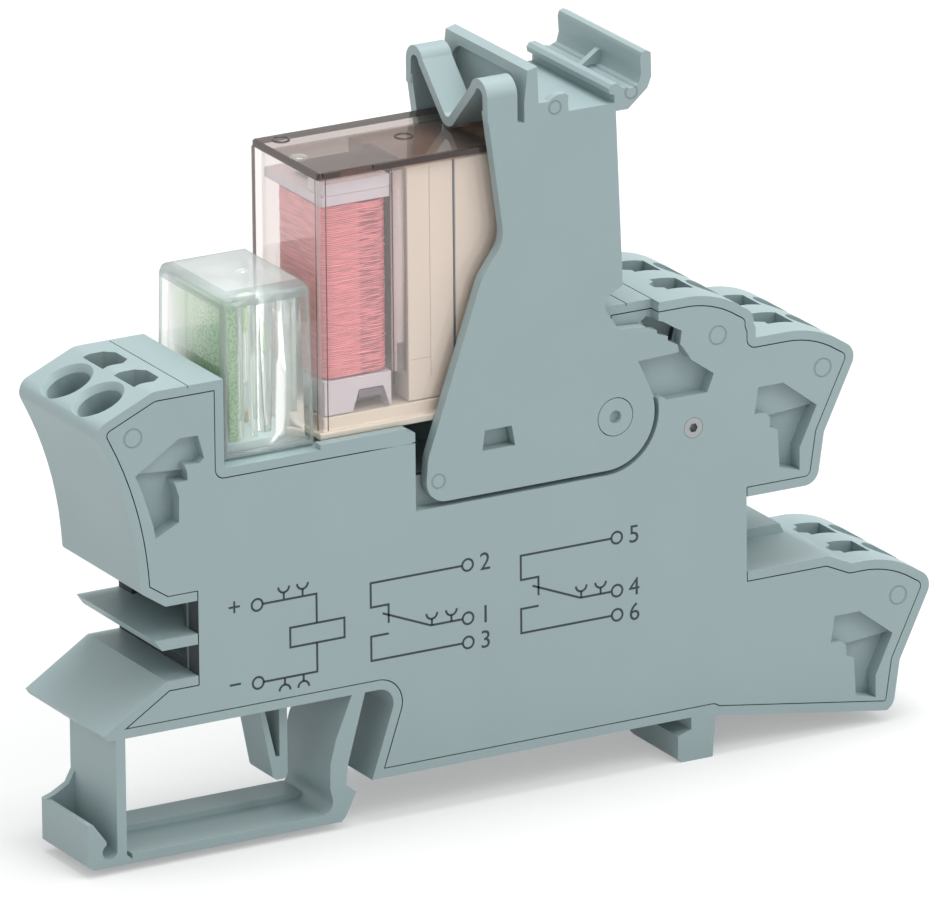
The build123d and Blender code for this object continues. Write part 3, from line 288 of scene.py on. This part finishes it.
def woundWire(name, colour, gap, pitch=0.17, split=-14.6):
    # Enamelled copper wire in layers: turns one pitch (mm) apart, painted shade in the gaps between them, and
    # painted shadows thrown by whole turns that ride up. To the right of the split (x in mm) the turns lie
    # less evenly, and the painted shadows there are stronger.
    mat, tree = emptyMaterial(name)
    place = addNode(tree, "ShaderNodeTexCoord").outputs["Object"]
    band = addNode(tree, "ShaderNodeMapping", inputs={"Vector": place, "Scale": (0.06, 0.06, 1.0)})
    patch = addNode(tree, "ShaderNodeTexNoise", inputs={
        "Vector": band.outputs[0], "Scale": 1 / (0.15 * mm), "Detail": 3.0, "Roughness": 0.6})
    turns = addNode(tree, "ShaderNodeTexWave", {"wave_type": "BANDS", "bands_direction": "Z"}, {
        "Vector": place, "Scale": 2 * math.pi / (20.0 * pitch * mm), "Distortion": 0.8,
        "Detail": 2.0, "Detail Scale": 1.5})
    along = addNode(tree, "ShaderNodeSeparateXYZ", inputs={0: place})
    uneven = addNode(tree, "ShaderNodeMapRange", {"interpolation_type": "SMOOTHSTEP"}, {
        "Value": along.outputs["X"], "From Min": (split - 0.15) * mm, "From Max": (split + 0.15) * mm,
        "To Min": 0.45, "To Max": 1.0})
    shade = addNode(tree, "ShaderNodeMath", {"operation": "MULTIPLY"}, {0: turns.outputs["Fac"], 1: 0.35})
    streak = addNode(tree, "ShaderNodeMapRange", inputs={
        "Value": patch.outputs["Fac"], "From Min": 0.40, "From Max": 0.58, "To Min": 1.0, "To Max": 0.0})
    streak = addNode(tree, "ShaderNodeMath", {"operation": "MULTIPLY"},
                     {0: streak.outputs[0], 1: uneven.outputs[0]})
    # painted shade between the turns and painted shadows darken the wire towards the gap colour
    dark = addNode(tree, "ShaderNodeMath", {"operation": "MULTIPLY_ADD", "use_clamp": True},
                   {0: streak.outputs[0], 1: 0.7, 2: shade.outputs[0]})
    tint = addNode(tree, "ShaderNodeMix", {"data_type": "RGBA"},
                   {0: dark.outputs[0], 6: hexColour(colour), 7: hexColour(gap)})
    bump = addNode(tree, "ShaderNodeBump", inputs={
        "Height": turns.outputs["Fac"], "Strength": 0.5, "Distance": 0.04 * mm})
    skin = addNode(tree, "ShaderNodeBsdfPrincipled", inputs={
        "Base Color": tint.outputs[2], "Roughness": 0.4, "IOR": 1.5, "Normal": bump.outputs[0]})
    addNode(tree, "ShaderNodeOutputMaterial", inputs={"Surface": skin.outputs[0]})
    return mat


def wovenLaminate(name, colour, pale, low=35.0, high=49.0, lean=1.6, cell=0.22):
    # Glass fibre board under green lacquer: a dotted weave, with painted light towards the top and the back,
    # where the milky wall in front of it catches the light. lean is how much the paler side turns to the
    # back, and cell the size of a dot in mm, drawn about half as coarse again as the glass cloth so that it
    # shows.
    mat, tree = emptyMaterial(name)
    place = addNode(tree, "ShaderNodeTexCoord").outputs["Object"]
    dots = addNode(tree, "ShaderNodeTexVoronoi", inputs={"Vector": place, "Scale": 1 / (cell * mm)})
    up = addNode(tree, "ShaderNodeVectorMath", {"operation": "DOT_PRODUCT"}, {0: place, 1: (0.0, lean, 1.0)})
    fade = addNode(tree, "ShaderNodeMapRange", {"interpolation_type": "SMOOTHSTEP"}, {
        "Value": up.outputs["Value"], "From Min": low * mm, "From Max": high * mm,
        "To Min": 0.0, "To Max": 0.9})
    speck = addNode(tree, "ShaderNodeMapRange", inputs={
        "Value": dots.outputs["Distance"], "From Min": 0.1, "From Max": 0.6, "To Min": -0.24, "To Max": 0.38})
    amount = addNode(tree, "ShaderNodeMath", {"operation": "ADD", "use_clamp": True},
                     {0: fade.outputs[0], 1: speck.outputs[0]})
    tint = addNode(tree, "ShaderNodeMix", {"data_type": "RGBA"},
                   {0: amount.outputs[0], 6: hexColour(colour), 7: hexColour(pale)})
    skin = addNode(tree, "ShaderNodeBsdfPrincipled", inputs={
        "Base Color": tint.outputs[2], "Roughness": 0.45, "IOR": 1.5})
    addNode(tree, "ShaderNodeOutputMaterial", inputs={"Surface": skin.outputs[0]})
    return mat


ringMarks = {
    # Round marks by the moulding they are on: x, z and radius in mm
    "cover": ((-38.8, 36.3, 0.85), (20.7, 35.9, 0.85), (31.6, 31.0, 0.85), (39.5, 7.85, 0.85)),
    "lever": ((-8.1, 27.0, 0.65), (4.1, 60.0, 0.6), (11.9, 60.2, 0.6)),
}
mats = {
    "housing_plastic": mouldedPlastic("polyamideMoulded", "#97AAAC"),
    "cover_plastic": mouldedPlastic("polyamideMouldedCover", "#98ABAD", rings=ringMarks["cover"]),
    "lever_plastic": mouldedPlastic("polyamideMouldedLever", "#97AAAC", rings=ringMarks["lever"]),
    "rivet_steel": metal("steelTurned", "#A4A7A7", 0.38),
    "spring_steel": metal("stainlessSpringStrip", "#858686", 0.45),
    "tinned_copper": metal("copperTinned", "#8F8D88", 0.45),
    "relay_base_plastic": mouldedPlastic("polyesterMouldedCream", "#D9D0C2", 0.5),
    "clear_cover": clearWall("polycarbonateClear", "#FAF8F7", 0.035, "#E4E0DF"),
    # painted shade on the cover's rims, posts and marks, where its clear walls look dark seen edge-on
    "clear_edge": clearWall("polycarbonateEdgePaintedShade", "#96827A", 0.26, "#5E4A43", 0.08),
    # painted shade on the cover's top, darker and browner than its walls, over what shows through it
    "clear_top": clearWall("polycarbonateTopPaintedShade", "#CEC4BF", 0.09, "#8F827C", 0.05),
    # a pale milky band on the slanted corners of the cover's walls: painted reflection
    "clear_post": clearWall("polycarbonatePostPaintedReflection", "#F1EDED", 0.36, "#CFC8C8", 0.08),
    "clear_rib": clearWall("polycarbonateRibSmoky", "#F3F0F0", 0.08, "#BBB2B5", 0.08),
    "bobbin_plastic": mouldedPlastic("polyesterMouldedPale", "#C9C3CB", 0.42),
    "winding_wire": woundWire("copperWireEnamelled", "#FF9DA4", "#78394A"),
    "soft_iron": metal("softIronPlated", "#77716C", 0.38),
    "contact_box_plastic": mouldedPlastic("polyesterMouldedBeige", "#D6CBBE", 0.5),
    # a darker copy of the contact box plastic: painted shade on the seam and the ledge of the contact chamber
    "chamber_line": mouldedPlastic("polyesterChamberPaintedShade", "#B5A99E", 0.6),
    # a paler copy of the bobbin plastic: painted light on the cheek behind the cover
    "bobbin_side": mouldedPlastic("polyesterBobbinPaintedLight", "#DCCFCD", 0.5),
    # a darker copy of the bobbin plastic: painted shade
    "bobbin_shade": mouldedPlastic("polyesterBobbinPaintedShade", "#6F6672", 0.6),
    "slider_plastic": mouldedPlastic("polyesterMouldedDark", "#4A4848", 0.5),
    "contact_bronze": metal("phosphorBronzeRolled", "#B89A68", 0.3),
    "clear_cap": clearWall("polycarbonateClearCap", "#FAFBFA", 0.055, "#E6EAE8", 0.07),
    # painted shade on the indicator cap's rounded and slanted edges
    "cap_edge": clearWall("polycarbonateCapRimPaintedShade", "#DCE2E1", 0.36, "#B7C1C0", 0.12),
    "cap_top": clearWall("polycarbonateCapTop", "#F2F4F4", 0.42, "#D0D7D5", 0.1),
    "light_pipe": clearSolid("polycarbonateLightPipe", "#F2F8F4"),
    "indicator_plastic": mouldedPlastic("polyamideMouldedPale", "#9FB0B4"),
    "board_laminate": wovenLaminate("glassFibreLaminate", "#3C8E1C", "#DDEBD2"),
    "led_resin": clearSolid("epoxyCastGreen", "#BFE3A0", 0.1, 1.5),
    "chip_ceramic": mouldedPlastic("ceramicFired", "#2B2A2A", 0.35),
    "cover_print": mouldedPlastic("inkPadPrinted", "#2A353B", 0.55, lift=0.08, pool=0.5),
    # painted shade in the hollows behind the left notch, in the seam round the front cover and on dark lines
    # behind the relay's cover
    "dark_gap": mouldedPlastic("polyamidePaintedShade", "#333B3F", 0.7),
}
slotOf = {part["node"]: part["material_slot"] for part in frame["record"]["subparts"]}
bodyOf = {node: body for body, nodes in frame["record"]["behaviour"]["bodies"].items() for node in nodes}
for node, obj in frame["nodes"].items():
    obj.data.materials.clear()
    obj.data.materials.append(mats[slotOf[node]])
print("materials ready")

# Moulded pieces with their edges rounded. Each face has the number of its material: 0 the piece's own, then
# the extra ones of edgeSetup. Heights and places are in mm.

straight = 0.97  # a face this much along one axis isn't slanted
upright = 0.5  # a wall's normal rises less than this
hollows = {"left": -36.0, "right": -27.0, "low": 13.85, "high": 19.3, "halfDepth": 5.05}
seamBack = -6.62  # behind this the front cover's walls lie in the seam
coverTop, capTop = 50.0, 45.0  # faces above these belong to the tops
pipe = {"x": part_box("indicator_cap")[0][0] / mm + 5.0, "y": -4.45, "radius": 1.12, "front": -5.5}


def isSlanted(normal):
    return max(abs(v) for v in normal) < straight


def hollowFace(centre, normal):
    # 1 the walls of the two hollows behind the left notch, which lie in the dark and get painted shade
    x, y, z = centre / mm
    deep = hollows["left"] < x < hollows["right"] and hollows["low"] < z < hollows["high"]
    return 1 if deep and abs(y) < hollows["halfDepth"] and abs(normal.z) < upright else 0


def coverFace(centre, normal):
    # 1 the slanted rim of the top, 2 the top, 3 the slanted corners of the walls, 0 the walls. The rim
    # and the top get painted shade, the corners a painted reflection.
    if isSlanted(normal):
        return 1 if abs(normal.z) > 0.2 else 3
    return 2 if abs(normal.z) > straight and centre.z > coverTop * mm else 0


def seatFace(centre, normal):
    # 1 the outer walls of the cover, which the narrow seam around it leaves in the dark; they get painted
    # shade
    return 1 if abs(normal.y) < 0.5 and centre.y > seamBack * mm else 0


def capFace(centre, normal):
    # 1 the slanted edges, which get painted shade, 2 the top, 3 the light pipe moulded inside the front, 0
    # the walls
    x, y, z = centre / mm
    inPipe = math.hypot(x - pipe["x"], y - pipe["y"]) < pipe["radius"] and y > pipe["front"]
    if inPipe and abs(normal.z) < upright:
        return 3
    if isSlanted(normal):
        return 1
    return 2 if abs(normal.z) > straight and z > capTop else 0


edgeSetup = {
    # node: width of the rounded edge in mm, its segments, extra materials, how a face's number is found
    "housing": (0.16, 2, ("dark_gap",), hollowFace),
    "front_cover": (0.13, 1, ("dark_gap",), seatFace),
    "retaining_lever": (0.2, 2, (), None),
    "relay_base": (0.12, 2, (), None),
    "coil_bobbin": (0.15, 2, (), None),
    "contact_housing": (0.15, 2, (), None),
    "indicator_base": (0.1, 2, (), None),
    "relay_cover": (0.12, 2, ("clear_edge", "clear_top", "clear_post"), coverFace),
    "indicator_cap": (0.7, 4, ("cap_edge", "cap_top", "light_pipe"), capFace),
}
raisedTop = {
    # node: what is above the first height is set to the second
    "contact_housing": (54.5, 56.1),
    "indicator_cap": (46.95, 47.45),
    "relay_cover": (56.8, 57.2),
}
sharpEdge = math.radians(32)  # edges that turn more than this are rounded
longEdge = 3.0  # mm, on the indicator cap only edges longer than this are


def roundedCopy(node, width, segments, extraSlots, faceNumber):
    # A copy of the solid, welded and with its flat faces joined, then a bevel on its sharp edges
    source = frame["nodes"][node]
    bm = bmesh.new()
    bm.from_mesh(source.data)
    bmesh.ops.remove_doubles(bm, verts=bm.verts, dist=2e-6)
    bmesh.ops.dissolve_limit(bm, angle_limit=math.radians(0.4), verts=bm.verts, edges=bm.edges)
    bm.normal_update()
    if node in raisedTop:
        low, high = raisedTop[node]
        for vert in bm.verts:
            if vert.co.z > low * mm:
                vert.co.z = high * mm
    for face in bm.faces:
        face.smooth = True
        face.material_index = faceNumber(face.calc_center_median(), face.normal) if faceNumber else 0
    mesh = bpy.data.meshes.new(node + "_moulded")
    byLength = node == "indicator_cap"  # its light pipe has short edges, which would hold the bevel back
    if byLength:
        weight = bm.edges.layers.float.new("bevel_weight_edge")
        for edge in bm.edges:
            sharp = edge.is_manifold and edge.calc_face_angle() > sharpEdge and edge.is_convex
            edge[weight] = 1.0 if sharp and edge.calc_length() > longEdge * mm else 0.0
    bm.to_mesh(mesh)
    bm.free()
    for slot in (slotOf[node], *extraSlots):
        mesh.materials.append(mats[slot])
    piece = bpy.data.objects.new(node + "_moulded", mesh)
    bpy.context.scene.collection.objects.link(piece)
    bevel = piece.modifiers.new("roundedEdges", "BEVEL")
    bevel.width, bevel.segments = width * mm, segments
    bevel.limit_method, bevel.angle_limit = "WEIGHT" if byLength else "ANGLE", sharpEdge
    bevel.use_clamp_overlap, bevel.harden_normals, bevel.miter_outer = True, False, "MITER_ARC"
    bevel.profile = 0.6
    if byLength:
        bevel.material = 1  # the cap's rounded edges get painted shade
    even = piece.modifiers.new("evenShading", "WEIGHTED_NORMAL")
    even.mode, even.weight, even.keep_sharp = "FACE_AREA", 50, True
    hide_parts(node)
    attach(piece, bodyOf[node])


for node, edges in edgeSetup.items():
    roundedCopy(node, *edges)
print("moulded pieces ready")

# The coil's winding, with its turns

windingSetup = {
    "left": -18.4, "right": -11.55, "corner": 1.2,  # mm, across the coil and the rounding of its corners
    "pitch": 0.17, "around": 132, "rows": 4,  # mm from turn to turn, points round a turn and along Z in it
    "inset": 0.09, "back": 1.6,  # mm that the turns start inside the sides, and stay short of the back
    "ride": 0.045, "waves": 9, "seed": 5,  # mm that a loose turn rides up, changes on its way round
    "corners": 256,  # points of the outline before it is spaced evenly
}


def tubeFaces(rows, count):
    # The faces of rings of count points, one on top of the other, with a lid at each end
    row, col = np.meshgrid(np.arange(rows - 1), np.arange(count), indexing="ij")
    a, b = row * count + col, row * count + (col + 1) % count
    faces = np.stack([a, b, b + count, a + count], axis=2).reshape(-1, 4).tolist()
    faces.append(list(range(count - 1, -1, -1)))
    faces.append(list(range((rows - 1) * count, rows * count)))
    return faces


def windingSurface(setup, node):
    # A rounded rectangle carried along Z. Across each turn the surface is a half round, root of 1 - t squared
    # with t from -1 to 1, and every turn rides up by its own amount, which changes slowly on the way round.
    low, high = (np.array(corner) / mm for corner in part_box(node))
    high[1] -= setup["back"]
    centre = np.array([(setup["left"] + setup["right"]) / 2, (low[1] + high[1]) / 2])
    half = np.array([(setup["right"] - setup["left"]) / 2, (high[1] - low[1]) / 2]) - setup["inset"]
    r = setup["corner"]
    turn = np.linspace(0, 2 * np.pi, setup["corners"] + 1)[:-1]
    arcs = np.stack([np.cos(turn), np.sin(turn)], axis=1)
    nudged = turn + 1e-6  # so that no point lies between two quadrants
    quadrant = np.sign(np.stack([np.cos(nudged), np.sin(nudged)], axis=1))
    outline = quadrant * (half - r) + arcs * r
    outline = np.vstack([outline, outline[:1]])
    run = np.concatenate([[0], np.cumsum(np.linalg.norm(np.diff(outline, axis=0), axis=1))])
    n = setup["around"]
    steps = np.arange(n) / n * run[-1]
    ring = np.stack([np.interp(steps, run, outline[:, 0]), np.interp(steps, run, outline[:, 1])], axis=1)
    along = np.roll(ring, -1, axis=0) - np.roll(ring, 1, axis=0)
    normal = np.stack([along[:, 1], -along[:, 0]], axis=1) / np.linalg.norm(along, axis=1)[:, None]
    turns = int((high[2] - low[2]) / setup["pitch"])
    pitch = (high[2] - low[2]) / turns
    rng = np.random.default_rng(setup["seed"])
    knots = np.clip(rng.normal(0.0, 0.8, (turns, setup["waves"])), -0.3, 1.6)
    gap = (np.arange(n) / n * setup["waves"])[:, None] - np.arange(setup["waves"])[None, :]
    gap = np.abs((gap + setup["waves"] / 2) % setup["waves"] - setup["waves"] / 2)
    weight = np.where(gap < 1, 0.5 + 0.5 * np.cos(np.pi * gap), 0.0)
    ride = knots @ weight.T * setup["ride"]
    t = np.linspace(-1, 1, setup["rows"] + 1)[:-1]
    bulge = np.sqrt(1 - t ** 2)
    offset = (bulge[None, :, None] * (pitch / 2 + ride[:, None, :])).reshape(-1, n)
    z = (low[2] + pitch * (np.arange(turns)[:, None] + (t[None, :] + 1) / 2)).reshape(-1)
    offset, z = np.vstack([offset, np.zeros((1, n))]), np.append(z, high[2])
    flat = centre + ring[None, :, :] + offset[:, :, None] * normal[None, :, :]
    verts = np.concatenate([flat, np.broadcast_to(z[:, None, None], (len(z), n, 1))], axis=2)
    return verts.reshape(-1, 3), tubeFaces(len(z), n)


def addPiece(name, verts, faces, material, body):
    # verts in mm
    mesh = bpy.data.meshes.new(name)
    mesh.from_pydata((np.array(verts, float) * mm).tolist(), [], faces)
    mesh.materials.append(mats[material])
    piece = bpy.data.objects.new(name, mesh)
    bpy.context.scene.collection.objects.link(piece)
    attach(piece, body)
    return piece


verts, faces = windingSurface(windingSetup, "coil_winding")
winding = addPiece("coil_turns", verts, faces, "winding_wire", bodyOf["coil_winding"])
winding.data.shade_smooth()
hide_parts("coil_winding")
print("winding ready")

# Printed circuit on the front cover, plain numbers and signs beside it

printSetup = {
    # mm: x and z on the cover's face
    "line": 0.2, "ink": 0.012, "sunk": 0.004,  # a line's width, the ink's thickness, how far it goes in
    "circle": 0.55, "cup": 0.55, "stem": 0.6,  # radii of a circle and of a cup, length of a cup's stem
    "coilCircles": ((-26.6, 18.65), (-26.6, 11.3)),
    "coilBox": (-23.3, 14.05, -17.8, 15.9),
    "coilLines": (((-26.05, 18.65), (-20.6, 18.65), (-20.6, 15.9)),
                  ((-20.6, 14.05), (-20.6, 11.3), (-26.05, 11.3))),
    "coilCups": ((-23.9, 19.9, 1), (-22.0, 19.9, 1), (-23.9, 10.1, -1), (-22.0, 10.1, -1)),  # 1 opens upwards
    "contactCircles": ((-5.2, 18.65), (-5.2, 13.6), (-5.2, 11.3)),
    "contactLines": (((-5.8, 18.65), (-15.1, 18.65), (-15.1, 16.35), (-13.3, 16.35), (-13.3, 14.6)),
                     ((-13.9, 15.6), (-9.0, 13.6), (-5.8, 13.6)),
                     ((-13.3, 13.6), (-15.1, 13.6), (-15.1, 11.3), (-5.8, 11.3))),
    "contactCups": ((-8.9, 14.75), (-6.9, 14.75)),
    "secondContact": (15.35, -0.1),  # from the first contact's drawing to the second's
    "labels": (("+", -29.6, 18.0), ("\u2212", -29.6, 10.7), ("2", -4.0, 17.9), ("1", -4.0, 12.9),
               ("3", -4.0, 10.5), ("5", 11.35, 17.8), ("4", 11.35, 12.8), ("6", 11.35, 10.4)),
    "labelHeight": 1.7, "fontScale": 1.4,  # height of a number, and the font's size over it
}
fullCircle = (0, 345, 24)  # first and last angle in degrees, points
lowerHalf, upperHalf = (180, 360, 13), (0, 180, 13)


def lineFaces(points, width, closed=False):
    # A flat strip along the points: at each one the two sides are set off along the mean of its directions
    pts = np.array(points, float)
    before = np.roll(pts, 1, axis=0) if closed else np.vstack([2 * pts[0] - pts[1], pts[:-1]])
    after = np.roll(pts, -1, axis=0) if closed else np.vstack([pts[1:], 2 * pts[-1] - pts[-2]])
    into = (pts - before) / np.linalg.norm(pts - before, axis=1)[:, None]
    outOf = (after - pts) / np.linalg.norm(after - pts, axis=1)[:, None]
    mean = into + outOf
    mean /= np.linalg.norm(mean, axis=1)[:, None]
    side = np.stack([-mean[:, 1], mean[:, 0]], axis=1)
    square = np.maximum(0.35, np.sum(mean * into, axis=1))  # keeps a sharp turn from running far out
    side *= (width / 2 / square)[:, None]
    left, right = pts + side, pts - side
    count = len(pts)
    i = np.arange(count if closed else count - 1)
    after = (i + 1) % count
    return np.vstack([left, right]), np.stack([i, after, after + count, i + count], axis=1).tolist()


def printMesh(setup):
    # The ink is a thin layer with a back and sides, so that it is a closed solid
    verts, faces = [], []
    yOut, yIn = frontY - setup["ink"], frontY + setup["sunk"]

    def addStrip(points, closed=False):
        flat, quads = lineFaces(points, setup["line"], closed)
        start, n = len(verts), len(flat)
        verts.extend((x, yOut, z) for x, z in flat)
        verts.extend((x, yIn, z) for x, z in flat)
        sides = []
        for quad in quads:
            loop = [start + i for i in quad]
            faces.append(tuple(loop))
            faces.append(tuple(i + n for i in reversed(loop)))
            sides.extend(zip(loop, loop[1:] + loop[:1]))
        known = set(sides)
        # A side that no other face shares is an outer one, and gets a wall down to the cover
        faces.extend((b, a, a + n, b + n) for a, b in sides if (b, a) not in known)

    def arc(x, z, radius, first, last, steps):
        turn = np.radians(np.linspace(first, last, steps))
        return np.stack([x + radius * np.cos(turn), z + radius * np.sin(turn)], axis=1)

    shiftX, shiftZ = setup["secondContact"]
    for x, z in setup["coilCircles"]:
        addStrip(arc(x, z, setup["circle"], *fullCircle), True)
    x0, z0, x1, z1 = setup["coilBox"]
    addStrip(((x0, z0), (x1, z0), (x1, z1), (x0, z1)), True)
    for points in setup["coilLines"]:
        addStrip(points)
    for dx, dz in ((0.0, 0.0), (shiftX, shiftZ)):
        for x, z in setup["contactCircles"]:
            addStrip(arc(x + dx, z + dz, setup["circle"], *fullCircle), True)
        for points in setup["contactLines"]:
            addStrip([(x + dx, z + dz) for x, z in points])
        for x, z in setup["contactCups"]:
            foot = z + dz - setup["cup"]
            addStrip(arc(x + dx, z + dz, setup["cup"], *lowerHalf))
            addStrip(((x + dx, foot), (x + dx, foot - setup["stem"])))
    for x, z, way in setup["coilCups"]:
        addStrip(arc(x, z, setup["cup"], *(lowerHalf if way > 0 else upperHalf)))
        addStrip(((x, z - way * setup["cup"]), (x, z - way * (setup["cup"] + setup["stem"]))))
    return verts, faces


verts, faces = printMesh(printSetup)
addPiece("cover_circuit", verts, faces, "cover_print", "socket")
for number, (text, x, z) in enumerate(printSetup["labels"]):
    curve = bpy.data.curves.new(f"cover_label_{number}", "FONT")
    curve.body, curve.size = text, printSetup["labelHeight"] * printSetup["fontScale"] * mm
    curve.extrude, curve.resolution_u = printSetup["ink"] * mm / 2, 4
    holder = bpy.data.objects.new("labelHolder", curve)
    bpy.context.scene.collection.objects.link(holder)
    mesh = bpy.data.meshes.new_from_object(holder)
    bpy.data.objects.remove(holder)
    mesh.name = f"cover_label_{number}"
    mesh.transform(Matrix.Translation((x * mm, (frontY - printSetup["ink"] / 2) * mm, z * mm))
                   @ Matrix.Rotation(math.radians(90), 4, "X"))
    mesh.materials.clear()
    mesh.materials.append(mats["cover_print"])
    label = bpy.data.objects.new(f"cover_label_{number}", mesh)
    bpy.context.scene.collection.objects.link(label)
    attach(label, "socket")
print("printed circuit ready")

# Ribs inside the clear mouldings, the rims and posts of the relay's cover in painted edge shade, and the
# lines and small blocks that show through it, most of them painted shade and one painted light


def ribMesh(x, width, yWall, depth, low, high, steps=9):
    # A vertical rib with a round nose, standing on a wall that faces +Y: half an ellipse, half the width
    # across in X and the depth inwards in Y, carried from low to high
    turn = np.linspace(0.0, np.pi, steps)
    ring = np.stack([x + width / 2 * np.cos(turn), yWall + depth * np.sin(turn)], axis=1)
    verts = np.column_stack([np.tile(ring, (2, 1)), np.repeat([low, high], steps)])
    return verts, tubeFaces(2, steps)


def boxMesh(low, high):
    # A plain block between two corners
    verts = np.array(np.meshgrid(*zip(low, high), indexing="ij")).reshape(3, -1).T
    faces = [(0, 1, 3, 2), (4, 6, 7, 5), (0, 4, 5, 1), (2, 3, 7, 6), (0, 2, 6, 4), (1, 5, 7, 3)]
    return verts, faces


ribSetup = {
    # name: x, width, wall, depth, low and high in mm, its material, its node
    "cap_rib_left": (-26.85, 0.55, -5.5, 0.45, 33.6, 45.9, "light_pipe", "indicator_cap"),
    "cap_rib_mid": (-25.45, 0.5, -5.5, 0.45, 33.6, 45.9, "light_pipe", "indicator_cap"),
    "cap_rib_right": (-21.5, 0.5, -5.5, 0.4, 33.6, 45.9, "light_pipe", "indicator_cap"),
    "cover_rib": (-10.75, 1.1, -5.52, 0.35, 37.2, 56.0, "clear_rib", "relay_cover"),
}
(left, front, foot), (right, back, _) = (np.array(corner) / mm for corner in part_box("relay_cover"))
skin, corner = 0.05, 0.3  # mm, how far a rim keeps inside the cover's faces, and short of its corners
rim = 0.42  # mm, how wide the walls look when seen edge-on through the top
top = raisedTop["relay_cover"][1] - skin
rimLow, postLow, postHigh = top - 0.5, foot + 0.1, top - 0.6
softEdge = 0.03  # mm, how far the edges of the blocks are rounded
stripSetup = {
    # name: low corner, high corner in mm, its material, its node
    # the rims, posts and lines below take the painted edge shade of clear_edge
    "rim_back": ((left + corner, back - rim, rimLow), (right - corner, back - skin, top),
                 "clear_edge", "relay_cover"),
    "rim_left": ((left + skin, front + corner, rimLow), (left + rim, back - corner, top),
                 "clear_edge", "relay_cover"),
    "rim_front_left": ((left + 0.65, front + skin, rimLow), (-16.9, front + rim, top),
                       "clear_edge", "relay_cover"),
    "rim_front_right": ((-13.6, front + skin, rimLow), (right - corner, front + rim, top),
                        "clear_edge", "relay_cover"),
    "post_back_left": ((left + skin, back - corner, postLow), (left + corner, back - skin, postHigh),
                       "clear_edge", "relay_cover"),
    "post_front_line": ((left + 0.8, front + 0.06, postLow), (left + 0.88, front + 0.16, postHigh),
                        "clear_edge", "relay_cover"),
    "post_side_line": ((left + 0.06, front + 0.62, postLow), (left + 0.14, front + 0.7, postHigh),
                       "clear_edge", "relay_cover"),
    # painted shade lines: the step in the relay's cover and the joint beside the contact chamber
    "cover_step": ((-11.46, -5.56, 36.1), (-11.36, -5.5, 56.1), "dark_gap", "relay_cover"),
    "chamber_joint": ((-5.2, -5.43, 36.9), (-5.02, -5.3, 56.15), "dark_gap", "contact_housing"),
    # painted shade along the chamber's seam and ledge
    "chamber_seam": ((-7.61, -5.42, 36.3), (-7.53, -5.38, 56.0), "chamber_line", "contact_housing"),
    "chamber_ledge": ((-9.6, -5.42, 38.05), (-7.61, -5.38, 38.13), "chamber_line", "contact_housing"),
    "bobbin_head": ((-18.3, -5.42, 54.72), (-11.6, -2.6, 55.85), "bobbin_plastic", "coil_bobbin"),
    # the cheek beside the winding takes the painted light
    "bobbin_cheek": ((-11.3, -5.3, 37.3), (-10.15, -4.9, 55.9), "bobbin_side", "coil_bobbin"),
    # a painted shadow at the foot of the cheek, and painted shade on the block under the winding
    "bobbin_shadow": ((-10.95, -5.36, 37.3), (-10.15, -5.31, 39.9), "bobbin_shade", "coil_bobbin"),
    "bobbin_clip": ((-14.95, -5.5, 35.45), (-12.6, -4.6, 36.15), "bobbin_shade", "coil_bobbin"),
}
for name, (low, high, material, node) in stripSetup.items():
    verts, faces = boxMesh(low, high)
    strip = addPiece(name, verts, faces, material, bodyOf[node])
    edge = strip.modifiers.new("roundedEdges", "BEVEL")
    edge.width, edge.segments = softEdge * mm, 2
for name, (*shape, material, node) in ribSetup.items():
    verts, faces = ribMesh(*shape)
    rib = addPiece(name, verts, faces, material, bodyOf[node])
    rib.data.shade_smooth()
print("ribs and lines ready")

# Small round marks and knobs on the clear tops


def markSurface(x, y, z, radius, tube, around=40, across=12):
    # A ring lying flat: a circle of radius tube, carried round a circle of the given radius. Where that
    # radius is 0 it is a knob instead, a ball of radius tube pressed flat to a third.
    turn = np.arange(around) / around * 2 * np.pi
    if radius > 0:
        turn, roll = np.meshgrid(turn, np.arange(across) / across * 2 * np.pi, indexing="ij")
        far = radius + tube * np.cos(roll)
        grid = np.stack([x + far * np.cos(turn), y + far * np.sin(turn), z + tube * np.sin(roll)], axis=2)
        i, j = np.meshgrid(np.arange(around), np.arange(across), indexing="ij")
        a, b = i * across + j, (i + 1) % around * across + j
        c, d = (i + 1) % around * across + (j + 1) % across, i * across + (j + 1) % across
        return grid.reshape(-1, 3), np.stack([a, b, c, d], axis=2).reshape(-1, 4).tolist()
    tilt = np.linspace(-np.pi / 2, np.pi / 2, across + 2)[1:-1, None]
    far, rise = tube * np.cos(tilt), np.broadcast_to(z + tube / 3 * np.sin(tilt), (across, around))
    grid = np.stack([x + far * np.cos(turn), y + far * np.sin(turn), rise], axis=2)
    return grid.reshape(-1, 3), tubeFaces(across, around)


markSetup = {
    # name: x, y, z of its middle, radius and thickness in mm, its material, its node
    "cap_knob": (-23.95, -0.57, 47.42, 0.0, 0.62, "light_pipe", "indicator_cap"),
    "cover_knob": (-18.2, -0.75, 57.12, 0.0, 0.85, "light_pipe", "relay_cover"),
    # these rings take the painted edge shade of clear_edge
    "cover_mark_left": (-17.1, 4.6, 57.16, 0.75, 0.11, "clear_edge", "relay_cover"),
    "cover_mark_right": (-7.2, -0.1, 57.16, 0.8, 0.11, "clear_edge", "relay_cover"),
}
for name, (*shape, material, node) in markSetup.items():
    verts, faces = markSurface(*shape)
    mark = addPiece(name, verts, faces, material, bodyOf[node])
    mark.data.shade_smooth()
print("marks ready")
